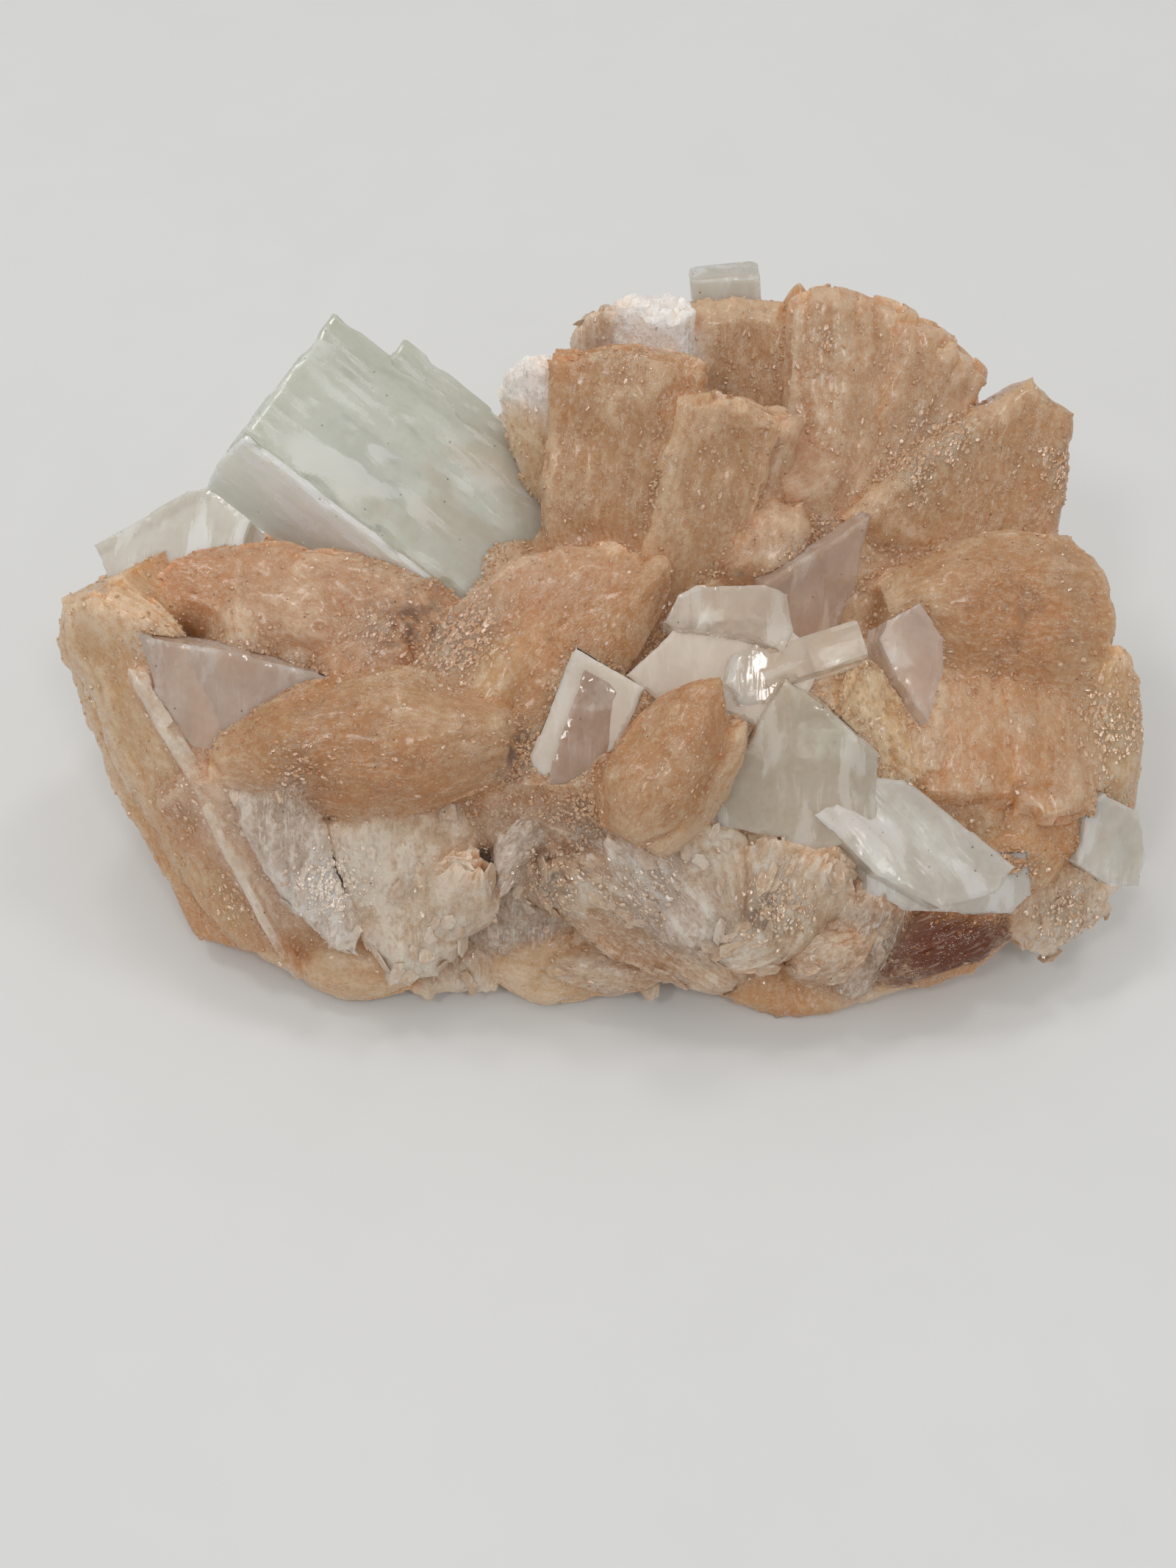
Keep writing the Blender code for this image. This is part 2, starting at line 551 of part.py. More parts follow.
def grow(form, gap):
    """Moves every face of a form out by gap."""
    bmesh.ops.recalc_face_normals(form, faces=form.faces)
    form.normal_update()
    shifts = [v.normal * (gap * v.calc_shell_factor()) for v in form.verts]
    for vertex, shift in zip(form.verts, shifts):
        vertex.co += shift
    return form


def crystal_form(crystal):
    """The solid of one apophyllite crystal."""
    return prism_form(crystal) if isinstance(crystal, Prism) else plate_form(crystal)


def add_crystal_group(group, nodes, helpers, sockets, material):
    """The crystals of one group as one node, with the grown copies that cut their socket."""
    made = []
    for crystal in group.crystals:
        place = crystal_frame(crystal.centre, crystal.face, crystal.up)
        name = f"{group.name}_{crystal.name}" if made else group.name
        made.append(add_object(name, crystal_form(crystal), place, helpers if made else nodes, material))
        socket_form = grow(crystal_form(crystal), SOCKET_GAP * MM)
        hide_helper(add_object(f"{group.name}_{crystal.name}_socket", socket_form, place, sockets))
    for other in made[1:]:
        add_boolean(made[0], other.name, "UNION", hide_helper(other))
    return made[0]


def add_growth(number, piece, collection):
    """One blade or plate of stilbite."""
    if isinstance(piece, Plate):
        place = crystal_frame(piece.centre, piece.face, piece.up)
        return add_object(piece.name, plate_form(piece), place, collection)
    return add_object(piece.name, blade_form(piece, number), blade_frame(piece), collection)


def add_boolean(target, name, operation, other):
    """Joins another object or a whole collection to target, or cuts it away."""
    modifier = target.modifiers.new(name, "BOOLEAN")
    modifier.operation = operation
    if isinstance(other, bpy.types.Collection):
        modifier.operand_type = "COLLECTION"
        modifier.collection = other
    else:
        modifier.object = other
    return modifier


def add_base_cutter(collection):
    """The block whose top cuts the underside off flat."""
    form = bmesh.new()
    size = Matrix.Diagonal((BASE_CUT_SIDE * MM, BASE_CUT_SIDE * MM, BASE_CUT_DEPTH * MM, 1))
    bmesh.ops.create_cube(form, size=1.0, matrix=size)
    place = Matrix.Translation((0, 0, -BASE_CUT_DEPTH * MM / 2))
    return hide_helper(add_object("base_cutter", form, place, collection))


def shape_mass(mass, growth, sockets, base_cutter):
    """Joins the growth to the mass, cuts the sockets and the base, and keeps the one body."""
    # The exact solver drops most of the mass where this many pieces run through each other
    for modifier in (
        add_boolean(mass, "join_growth", "UNION", growth),
        add_boolean(mass, "cut_sockets", "DIFFERENCE", sockets),
        add_boolean(mass, "cut_base", "DIFFERENCE", base_cutter),
    ):
        modifier.solver = "MANIFOLD"
    bpy.context.view_layer.update()
    graph = bpy.context.evaluated_depsgraph_get()
    mesh = bpy.data.meshes.new_from_object(mass.evaluated_get(graph))
    mass.modifiers.clear()
    mass.data = mesh
    form = bmesh.new()
    form.from_mesh(mesh)
    keep_largest_shell(form)
    form.to_mesh(mesh)
    form.free()


def keep_largest_shell(form):
    """Fills the closed pockets between pieces and drops the crumbs that sockets cut off."""
    left = set(form.verts)
    shells = []
    while left:
        shell = set()
        edge_of_shell = [left.pop()]
        while edge_of_shell:
            vertex = edge_of_shell.pop()
            shell.add(vertex)
            found = {edge.other_vert(vertex) for edge in vertex.link_edges} & left
            left -= found
            edge_of_shell.extend(found)
        shells.append(shell)
    shells.sort(key=len)
    spare = [vertex for shell in shells[:-1] for vertex in shell]
    bmesh.ops.delete(form, geom=spare, context="VERTS")


def new_collection(name, parent):
    """An empty collection under parent."""
    made = bpy.data.collections.new(name)
    parent.children.link(made)
    return made


def clear_scene():
    """Removes whatever the scene holds."""
    for old in list(bpy.data.objects):
        bpy.data.objects.remove(old)


def build_cluster():
    """Builds the stilbite mass and the apophyllite crystals seated in it."""
    clear_scene()
    noise.seed_set(NOISE_SEED)
    scene = bpy.context.scene.collection
    nodes = new_collection("stilbite_cluster_specimen", scene)
    growth = new_collection("stilbite_growth", scene)
    helpers = new_collection("cutters", scene)
    sockets = new_collection("sockets", helpers)

    stilbite = make_material("stilbite", STILBITE_COLOUR, STILBITE_ROUGHNESS)
    apophyllite = make_material(
        "apophyllite", APOPHYLLITE_COLOUR, APOPHYLLITE_ROUGHNESS, APOPHYLLITE_CLARITY
    )
    lumps = [lump_form(lump, seed) for seed, lump in enumerate(LUMPS)]
    places = [Matrix.Translation(Vector(lump.centre) * MM) for lump in LUMPS]
    mass = add_object("stilbite_mass", lumps[0], places[0], nodes, stilbite)
    for number in range(1, len(LUMPS)):
        hide_helper(add_object(f"lump_{number}", lumps[number], places[number], growth))
    for number, piece in enumerate(GROWTH):
        hide_helper(add_growth(number, piece, growth))
    for group in CRYSTAL_GROUPS:
        add_crystal_group(group, nodes, helpers, sockets, apophyllite)

    shape_mass(mass, growth, sockets, add_base_cutter(helpers))


if __name__ == "__main__":
    build_cluster()
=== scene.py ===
"""The looks of the stilbite cluster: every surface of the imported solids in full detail.

The tables follow how the solids grew, in design millimetres, and add a look to each row. Every
crystal is shaped in a frame of its own (X across it, Y along it, Z out of its face), crystals that
grew together are joined into closed solids, and each solid is then coloured and dressed.
"""

import itertools
import json
import logging
import math
from dataclasses import dataclass, field
from enum import Enum
from typing import Callable, Iterable, Sequence

import bmesh
import bpy
import numpy as np
from mathutils import Matrix, Vector, geometry, noise

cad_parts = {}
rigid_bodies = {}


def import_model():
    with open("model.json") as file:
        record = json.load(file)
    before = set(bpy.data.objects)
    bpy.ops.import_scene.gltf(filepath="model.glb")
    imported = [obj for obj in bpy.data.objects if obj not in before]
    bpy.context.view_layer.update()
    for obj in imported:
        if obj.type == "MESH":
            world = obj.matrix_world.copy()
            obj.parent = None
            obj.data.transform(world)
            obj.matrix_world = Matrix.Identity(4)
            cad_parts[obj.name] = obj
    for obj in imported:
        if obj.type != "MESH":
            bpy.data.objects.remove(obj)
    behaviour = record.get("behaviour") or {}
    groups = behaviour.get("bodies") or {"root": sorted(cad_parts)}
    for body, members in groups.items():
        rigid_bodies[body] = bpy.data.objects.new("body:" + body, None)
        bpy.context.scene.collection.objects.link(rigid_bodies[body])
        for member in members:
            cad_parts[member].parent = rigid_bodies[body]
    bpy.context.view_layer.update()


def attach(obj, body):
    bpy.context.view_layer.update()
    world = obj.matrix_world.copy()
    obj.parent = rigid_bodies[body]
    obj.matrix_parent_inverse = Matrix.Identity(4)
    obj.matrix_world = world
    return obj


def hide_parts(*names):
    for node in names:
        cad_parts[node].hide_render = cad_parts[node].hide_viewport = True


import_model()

LOG = logging.getLogger("stilbite_cluster")

Point = tuple[float, float, float]
Colour = tuple[float, float, float]

# Driving dimensions
CLUSTER_WIDTH = 0.086
DESIGN_WIDTH = 86.0
MM = CLUSTER_WIDTH / DESIGN_WIDTH

# Natural unevenness, as shares of a blade's width or a lump's radius
BLADE_UNEVENNESS = 0.05
LUMP_UNEVENNESS = 0.10
LUMP_FULLNESS = 0.8
NOISE_SPACING = 4.0
# Blender's noise starts from the clock unless it is given a seed, here the solids' one
NOISE_SEED = 1796072047
# The first crystal's and the first crust's own seeds
CRYSTAL_SEED = 200
CRUST_SEED = 300

# How finely the surfaces are cut, in design millimetres
FRONT_SPACING = 0.36
BACK_SPACING = 0.75
CRYSTAL_SPACING = 0.30
LUMP_SUBDIVISIONS = 5
SHARP_ANGLE = math.radians(34)


class Habit(Enum):
    """The outline of a stilbite crystal, seen square to its broad face."""

    SLAB = "slab"
    FAN = "fan"
    LENS = "lens"
    SHIELD = "shield"


class Look(Enum):
    """The colour and the working of a stretch of stilbite."""

    TAN = "tan"
    PEACH = "peach"
    PINK = "pink"
    AMBER = "amber"
    PEARL = "pearl"
    RIDGE = "ridge"
    PALE = "pale"
    SILVER = "silver"
    FLUTED = "fluted"
    CORE = "core"
    SUGAR = "sugar"
    FLAKE = "flake"


class Gem(Enum):
    """The clearness of an apophyllite crystal."""

    MILKY = "milky"
    FROSTED = "frosted"
    SMOKY = "smoky"
    DUSKY = "dusky"
    CLEAR = "clear"
    SAGE = "sage"
    # A lighter copy of the milky finish: painted light on the large crystal's lower side face
    BRIGHT = "bright"
    SUGARED = "sugared"


# The options by their own names, as the tables below use them
SLAB, FAN, LENS, SHIELD = Habit
TAN, PEACH, PINK, AMBER, PEARL, RIDGE, PALE, SILVER, FLUTED, CORE, SUGAR, FLAKE = Look
MILKY, FROSTED, SMOKY, DUSKY, CLEAR, SAGE, BRIGHT, SUGARED = Gem


@dataclass(frozen=True)
class Outline:
    """How a habit widens, thins and ends. Shares are of the full size."""

    root_width: float
    tip_width: float
    belly: float
    tip_drop: float
    drop_power: float
    tip_thickness: float
    edge_thickness: float


OUTLINES = {
    SLAB: Outline(0.85, 0.95, 0.04, 0.04, 2.0, 0.80, 0.72),
    FAN: Outline(0.55, 0.98, 0.10, 0.17, 2.2, 0.62, 0.50),
    LENS: Outline(0.58, 0.55, 0.44, 0.10, 2.0, 0.50, 0.38),
    SHIELD: Outline(0.60, 0.72, 0.28, 0.22, 1.2, 0.60, 0.50),
}


@dataclass(frozen=True)
class Blade:
    """One stilbite blade. Points and sizes are in design millimetres.

    root and tip are the ends of its middle line, face is the way its broad face looks,
    and sink is how far the root runs on into the mass.
    """

    name: str
    look: Look
    habit: Habit
    root: Point
    tip: Point
    face: Point
    width: float
    thickness: float
    sink: float = 4.0


@dataclass(frozen=True)
class Plate:
    """One crystal or broken piece with an outline of its own, in design millimetres.

    centre lies on its front face, face is the way that looks and up points along the
    outline's second coordinate. shoulder is how far in, and shoulder_drop how far down,
    the front face slopes at its rim.
    """

    name: str
    look: Look | Gem
    centre: Point
    face: Point
    up: Point
    outline: tuple[tuple[float, float], ...]
    thickness: float
    shoulder: float = 0.0
    shoulder_drop: float = 0.0


@dataclass(frozen=True)
class Lump:
    """A rounded stretch of the mass that the blades grow from."""

    centre: Point
    radii: Point


@dataclass(frozen=True)
class Prism:
    """One square-sided apophyllite crystal. Points and sizes are in design millimetres.

    centre is the middle of its free end, up points out of that end, and face is the way
    one of its sides looks. depth is measured along face and width across it.
    """

    name: str
    look: Look | Gem
    centre: Point
    face: Point
    up: Point
    width: float
    depth: float
    length: float


@dataclass(frozen=True)
class Relief:
    """How the faces of a crystal are worked, in design millimetres.

    Ribs run along the crystal, terraces are low steps across its face, and splinters are
    the long chips of a broken face. The steps are how unevenly its end and sides finish.
    """

    rib_width: float = 1.6
    rib_height: float = 0.08
    terrace_height: float = 0.17
    splinter_depth: float = 0.0
    splinter_size: tuple[float, float] = (0.8, 3.6)
    tip_step: float = 0.9
    side_step: float = 0.5
    grit: float = 0.05
    edge_radius: float = 0.28


def row_random(numbers: np.ndarray, seed: int) -> np.ndarray:
    """Repeatable values from 0 to 1, one for each row of whole numbers.

    Args:
        numbers: whole numbers as floats or integers, one row or one value each.
        seed: the row of values to draw from.

    Returns:
        One value for each row.
    """
    rows = np.floor(numbers).astype(np.int64).reshape(len(numbers), -1)
    mixed = np.full(len(rows), seed + 101, np.uint64) * np.uint64(0x9E3779B97F4A7C15)
    for column in rows.T.astype(np.uint64):
        mixed = (mixed ^ column) * np.uint64(0xBF58476D1CE4E5B9)
        mixed ^= mixed >> np.uint64(29)
    return (mixed >> np.uint64(40)).astype(float) / 2.0**24


def smooth_noise(spots: np.ndarray, spacing: float | Sequence[float], seed: int) -> np.ndarray:
    """Smooth repeatable noise from -1 to 1.

    Args:
        spots: points, one row each, in design millimetres.
        spacing: the distance between its hills, one for all axes or one for each.
        seed: which noise.

    Returns:
        One value for each point.
    """
    scaled = spots / np.asarray(spacing)
    cell = np.floor(scaled)
    share = scaled - cell
    share = share * share * (3 - 2 * share)
    total = np.zeros(len(spots))
    for corner in itertools.product((0, 1), repeat=spots.shape[1]):
        weight = np.prod(np.where(corner, share, 1 - share), axis=1)
        total += weight * row_random(cell + corner, seed)
    return total * 2 - 1


def cell_pattern(
    spots: np.ndarray, spacing: float | Sequence[float], seed: int
) -> tuple[np.ndarray, np.ndarray, np.ndarray]:
    """Irregular cells, each grown from a seed point.

    Args:
        spots: points, one row each, in design millimetres.
        spacing: the size of a cell, one for all axes or one for each.
        seed: which pattern.

    Returns:
        The cell's own value from 0 to 1, the offset from its seed point and the distance
        to it, both in cells.
    """
    scaled = spots / np.asarray(spacing)
    base = np.floor(scaled)
    value = np.zeros(len(spots))
    offset = np.zeros(spots.shape)
    nearest = np.full(len(spots), np.inf)
    for step in itertools.product((-1, 0, 1), repeat=spots.shape[1]):
        cell = base + step
        spread = [row_random(cell, seed + 31 * (axis + 1)) for axis in range(spots.shape[1])]
        away = scaled - cell - np.stack(spread, axis=1)
        distance = np.sqrt((away**2).sum(axis=1))
        nearer = distance < nearest
        nearest[nearer] = distance[nearer]
        offset[nearer] = away[nearer]
        value[nearer] = row_random(cell, seed + 7)[nearer]
    return value, offset, nearest


def wobble(spots: np.ndarray, seed: int) -> np.ndarray:
    """The same slow unevenness that the solids have, for points in design millimetres."""
    shift = np.array((seed, seed * 1.7, seed * 2.3))
    return np.array([noise.noise_vector(spot) for spot in spots / NOISE_SPACING + shift])


def stepped(levels: np.ndarray, sharpness: float = 0.40) -> np.ndarray:
    """Turns a smooth rise into flat terraces joined by short slopes."""
    whole = np.floor(levels)
    return whole + np.clip((levels - whole - 1 + sharpness) / sharpness, 0, 1)


def rounding(distance: np.ndarray, radius: float | np.ndarray) -> np.ndarray:
    """How far a surface falls, this distance in from an edge, where the edge is rounded off."""
    left = np.clip(radius - distance, 0, None)
    return radius - np.sqrt(np.clip(radius**2 - left**2, 0, None))


def face_relief(spots: np.ndarray, relief: Relief, seed: int) -> np.ndarray:
    """How far the worked face stands over its plain shape.

    Args:
        spots: points across and along the face, in design millimetres.
        relief: how the face is worked.
        seed: which crystal.

    Returns:
        One height for each point, in design millimetres, about zero on average.
    """
    wander = smooth_noise(spots, (relief.rib_width * 1.7, 5.0), seed) * relief.rib_width * 0.35
    rib = (spots[:, 0] + wander) / relief.rib_width
    within = 2 * (rib - np.floor(rib)) - 1
    height = relief.rib_height * (0.6 * (1 - within**2) + 1.4 * row_random(rib, seed) - 1.1)
    levels = 2.4 * smooth_noise(spots, (4.2, 8.0), seed + 1)
    levels += 0.5 * smooth_noise(spots, (1.1, 2.1), seed + 2)
    height += relief.terrace_height * (stepped(levels) + 0.5)
    if relief.splinter_depth:
        value, offset, _ = cell_pattern(spots, relief.splinter_size, seed + 3)
        lean_across = np.mod(value * 7.13, 1.0) - 0.5
        lean_along = np.mod(value * 3.71, 1.0) - 0.5
        chips = value - 0.5 + 1.3 * lean_across * offset[:, 0] + 0.9 * lean_along * offset[:, 1]
        height += relief.splinter_depth * chips
    height += relief.grit * smooth_noise(spots, 0.95, seed + 4)
    height += relief.grit * 0.6 * smooth_noise(spots, 0.5, seed + 5)
    return height


def crystal_frame(centre: Point, face: Point, up: Point) -> Matrix:
    """The matrix whose Z looks the way of face and whose Y is nearest to up, set at centre."""
    outward = Vector(face).normalized()
    along = Vector(up)
    along = (along - outward * along.dot(outward)).normalized()
    across = along.cross(outward)
    turn = Matrix((across, along, outward)).transposed()
    return Matrix.Translation(Vector(centre)) @ turn.to_4x4()


def blade_frame(blade: Blade) -> Matrix:
    """The frame of a blade: its length is exact and its face is turned to suit."""
    along = (Vector(blade.tip) - Vector(blade.root)).normalized()
    face = Vector(blade.face)
    return crystal_frame(blade.root, face - along * face.dot(along), along)


@dataclass
class Skin:
    """A closed surface in one crystal's frame, in design millimetres.

    grain is where each point lies across, along and out of the crystal, before its faces
    were worked.
    """

    points: np.ndarray
    faces: list[Sequence[int]]
    grain: np.ndarray

    def placed(self, frame_of_piece: Matrix) -> "Skin":
        """The same skin where the crystal stands in the cluster."""
        turn = np.array(frame_of_piece.to_3x3())
        points = self.points @ turn.T + np.array(frame_of_piece.translation)
        return Skin(points, self.faces, self.grain)


def box_grid(counts: Sequence[int]) -> tuple[np.ndarray, np.ndarray]:
    """The surface of a cube from -1 to 1, cut into cells.

    Args:
        counts: how many cells along X, Y and Z.

    Returns:
        The points, and quads that look out.
    """
    stride = (np.array(counts) + 1).tolist()
    quads = []
    for axis in range(3):
        first, second = [other for other in range(3) if other != axis]
        rows, columns = np.meshgrid(
            np.arange(counts[first] + 1), np.arange(counts[second] + 1), indexing="ij"
        )
        for end in (0, counts[axis]):
            place = np.zeros((*rows.shape, 3), int)
            place[..., first], place[..., second], place[..., axis] = rows, columns, end
            key = (place[..., 0] * stride[1] + place[..., 1]) * stride[2] + place[..., 2]
            quad = np.stack((key[:-1, :-1], key[1:, :-1], key[1:, 1:], key[:-1, 1:]), axis=-1)
            looks_out = (end > 0) != (axis == 1)
            quads.append(quad.reshape(-1, 4)[:, :: 1 if looks_out else -1])
    used, faces = np.unique(np.concatenate(quads), return_inverse=True)
    place = np.stack((used // (stride[1] * stride[2]), used // stride[2] % stride[1], used % stride[2]), 1)
    return place / np.array(counts) * 2 - 1, faces.reshape(-1, 4)


def cell_counts(sizes: Iterable[float], spacing: float) -> list[int]:
    """How many cells of about this spacing fit each size."""
    return [max(2, round(size / spacing)) for size in sizes]


def blade_skin(blade: Blade, relief: Relief, spacing: float, seed: int) -> Skin:
    """One blade with its worked faces.

    Args:
        blade: the blade's row.
        relief: how its faces are worked.
        spacing: the size of the cells that its surface is cut into.
        seed: its number in the growth, which also sets its slow unevenness.

    Returns:
        A closed skin in the blade's frame.
    """
    shape = OUTLINES[blade.habit]
    length = (Vector(blade.tip) - Vector(blade.root)).length + blade.sink
    unit, quads = box_grid(cell_counts((blade.width, length * 0.9, blade.thickness * 0.7), spacing))
    side, share, out = unit[:, 0], (unit[:, 1] + 1) / 2, unit[:, 2]
    width = shape.root_width + (shape.tip_width - shape.root_width) * share
    width = (width + shape.belly * np.sin(np.pi * share)) * blade.width / 2
    thinning = 1 - (1 - shape.tip_thickness) * share**2
    thinning = thinning * (1 - (1 - shape.edge_thickness) * side**2)
    root = (1 - share) ** 8
    thinning, width = thinning * (1 - 0.5 * root), width * (1 - 0.3 * root)
    drop = shape.tip_drop * np.abs(side) ** shape.drop_power * share
    points = np.stack(
        (side * width, length * (share - drop) - blade.sink, out * thinning * blade.thickness / 2), 1
    )
    points += wobble(points, seed) * blade.width * BLADE_UNEVENNESS
    grain = np.stack((side * blade.width / 2, points[:, 1], points[:, 2]), 1)

    height = face_relief(grain[:, :2], relief, seed)
    from_edge = np.minimum((1 - np.abs(side)) * width, np.minimum(share, 1 - share) * length)
    points[:, 2] += out * (height - rounding(from_edge, relief.edge_radius))
    layer = out * blade.thickness / 1.6
    rib = grain[:, 0] / (relief.rib_width * 0.8) + 0.4 * smooth_noise(grain[:, ::2], 1.3, seed + 6)
    end_step = row_random(np.stack((rib, layer), 1), seed + 8) - 0.6
    points[:, 1] += relief.tip_step * end_step * share**8
    rung = grain[:, 1] / 1.5 + 0.5 * smooth_noise(grain[:, 1:], 1.1, seed + 9)
    side_step = row_random(np.stack((rung, layer), 1), seed + 10) - 0.6
    points[:, 0] += np.sign(side) * side**6 * relief.side_step * side_step
    return Skin(points, quads.tolist(), grain)


def stepped_rim(outline: np.ndarray, spacing: float, step: float, seed: int) -> np.ndarray:
    """Walks round an outline, anticlockwise, and steps its edge in and out.

    Args:
        outline: the corners.
        spacing: the distance between two points of the walk.
        step: the size of the steps.
        seed: which crystal.

    Returns:
        The points of the rim.
    """
    following = np.roll(outline, -1, axis=0)
    walked = 0.0
    rim = []
    for start, end in zip(outline, following):
        reach = float(np.linalg.norm(end - start))
        count = max(1, round(reach / spacing))
        share = np.arange(count) / count
        spots = start + np.outer(share, end - start)
        arc = walked + share * reach
        wander = smooth_noise(spots, 1.2, seed + 11)
        bite = row_random(arc / 1.4 + 0.6 * wander, seed + 12) * np.where(share > 0, 1.0, 0.6)
        inward = np.array((start[1] - end[1], end[0] - start[0])) / max(reach, 1e-6)
        rim.append(spots + np.outer(step * bite, inward))
        walked += reach
    return np.concatenate(rim)


def rim_distance(spots: np.ndarray, rim: np.ndarray) -> np.ndarray:
    """The distance from each point to the nearest stretch of the rim."""
    start = rim[None]
    reach = (np.roll(rim, -1, axis=0) - rim)[None]
    toward = spots[:, None] - start
    share = np.clip((toward * reach).sum(2) / (reach**2).sum(2), 0, 1)
    return np.linalg.norm(toward - share[..., None] * reach, axis=2).min(axis=1)


def inside_rim(spots: np.ndarray, rim: np.ndarray) -> np.ndarray:
    """Which points lie inside the rim."""
    start, end = rim[None], np.roll(rim, -1, axis=0)[None]
    x, y = spots[:, None, 0], spots[:, None, 1]
    spans = (start[..., 1] > y) != (end[..., 1] > y)
    rise = np.where(end[..., 1] == start[..., 1], 1.0, end[..., 1] - start[..., 1])
    crossing = start[..., 0] + (y - start[..., 1]) * (end[..., 0] - start[..., 0]) / rise
    return (spans & (x < crossing)).sum(axis=1) % 2 == 1


def fill_rim(rim: np.ndarray, inner: np.ndarray) -> np.ndarray:
    """Triangles that fill a rim, through the inner points too.

    Args:
        rim: the points round the edge, anticlockwise.
        inner: points inside it, possibly none.

    Returns:
        Triangles over rim and inner points in that order, or none where the rim crosses itself.
    """
    spots = np.concatenate((rim, inner))
    loop = list(range(len(rim)))
    points, _, faces, *_ = geometry.delaunay_2d_cdt([Vector(spot) for spot in spots], [], [loop], 1, 1e-7)
    if len(points) != len(spots):
        return np.empty((0, 3), int)
    triangles = np.array(faces)
    corners = spots[triangles]
    first, second = corners[:, 1] - corners[:, 0], corners[:, 2] - corners[:, 0]
    turned = first[:, 0] * second[:, 1] - first[:, 1] * second[:, 0] < 0
    triangles[turned] = triangles[turned][:, ::-1]
    return triangles


def plate_skin(plate: Plate, relief: Relief, spacing: float, seed: int) -> Skin:
    """One plate: a worked front, layered sides and a plain back.

    Args:
        plate: the plate's row.
        relief: how its faces are worked.
        spacing: the size of the triangles on its front.
        seed: its number in the growth.

    Returns:
        A closed skin in the plate's frame.
    """
    outline = np.array(plate.outline, float)
    following = np.roll(outline, -1, axis=0)
    if (outline[:, 0] * following[:, 1] - outline[:, 1] * following[:, 0]).sum() < 0:
        outline = outline[::-1]
    low, high = outline.min(axis=0), outline.max(axis=0)
    rows, columns = np.meshgrid(*(np.arange(a, b, spacing) for a, b in zip(low, high)), indexing="ij")
    net = np.stack((rows.ravel(), columns.ravel()), 1)
    net += (np.stack([row_random(net / spacing + 0.5, seed + n) for n in (13, 14)], 1) - 0.5) * spacing * 0.5
    for strength in (1.0, 0.5, 0.0):
        rim = stepped_rim(outline, spacing, relief.side_step * strength, seed)
        inner = net[inside_rim(net, rim)]
        inner = inner[rim_distance(inner, rim) > spacing * 0.6]
        front = fill_rim(rim, inner)
        if len(front):
            break
    flat = np.concatenate((rim, inner))
    distance = np.concatenate((np.zeros(len(rim)), rim_distance(inner, rim)))
    slope = np.clip(1 - distance / max(plate.shoulder * 1.3, 1e-6), 0, 1)
    top = face_relief(flat, relief, seed) - plate.shoulder_drop * slope**1.5
    top -= rounding(distance, relief.edge_radius)

    depths = np.linspace(0, 1, max(2, round(plate.thickness / (spacing * 1.6))) + 1)[1:]
    inward = np.roll(rim, 1, axis=0) - np.roll(rim, -1, axis=0)
    inward = np.stack((inward[:, 1], -inward[:, 0]), 1)
    inward /= np.maximum(np.linalg.norm(inward, axis=1, keepdims=True), 1e-6)
    arc = np.arange(len(rim)) * spacing / 3.0
    rings = []
    for number, depth in enumerate(depths):
        bite = row_random(np.stack((arc, np.full(len(rim), number // 2)), 1), seed + 15)
        flush = rim + inward * (relief.side_step * 0.35 * bite * (1 - depth))[:, None]
        down = top[: len(rim)] * (1 - depth) - plate.thickness * depth
        rings.append(np.column_stack((flush, down)))
    points = np.concatenate((np.column_stack((flat, top)), *rings))
    faces = front.tolist()
    here = np.arange(len(rim))
    starts = [0] + [len(flat) + number * len(rim) for number in range(len(depths))]
    for upper, lower in zip(starts, starts[1:]):
        after = np.roll(here, -1)
        faces += np.stack((upper + here, lower + here, lower + after, upper + after), 1).tolist()
    back = fill_rim(rim, np.empty((0, 2)))
    faces += (back[:, ::-1] + starts[-1]).tolist()
    return Skin(points, faces, points.copy())


def prism_skin(prism: Prism, relief: Relief, spacing: float, seed: int) -> Skin:
    """One square-sided crystal: flat striated sides, a stepped end and chipped edges.

    Args:
        prism: the crystal's row.
        relief: how its faces are worked.
        spacing: the size of the cells that its surface is cut into.
        seed: which crystal.

    Returns:
        A closed skin in the crystal's frame, its free end at Y = 0.
    """
    sizes = (prism.width, prism.length, prism.depth)
    unit, quads = box_grid(cell_counts(sizes, spacing))
    points = unit * np.array(sizes) / 2
    points[:, 1] -= prism.length / 2
    grain = points.copy()
    for axis, other in ((0, 2), (2, 0)):
        height = face_relief(grain[:, (other, 1)], relief, seed + axis)
        chip = relief.edge_radius * (0.4 + np.clip(smooth_noise(grain[:, 1:2], 1.6, seed + 16), 0, 1) * 3)
        fall = rounding((1 - np.abs(unit[:, other])) * sizes[other] / 2, chip)
        fall += rounding(-grain[:, 1], relief.edge_radius * 0.6)
        points[:, axis] += unit[:, axis] * (height - fall)
    terrace = stepped(1.8 * smooth_noise(grain[:, ::2], (2.6, 3.4), seed + 17))
    end = np.clip(unit[:, 1], 0, 1) ** 12
    points[:, 1] += end * relief.tip_step * (terrace * 0.5 - 0.4)
    return Skin(points, quads.tolist(), grain)


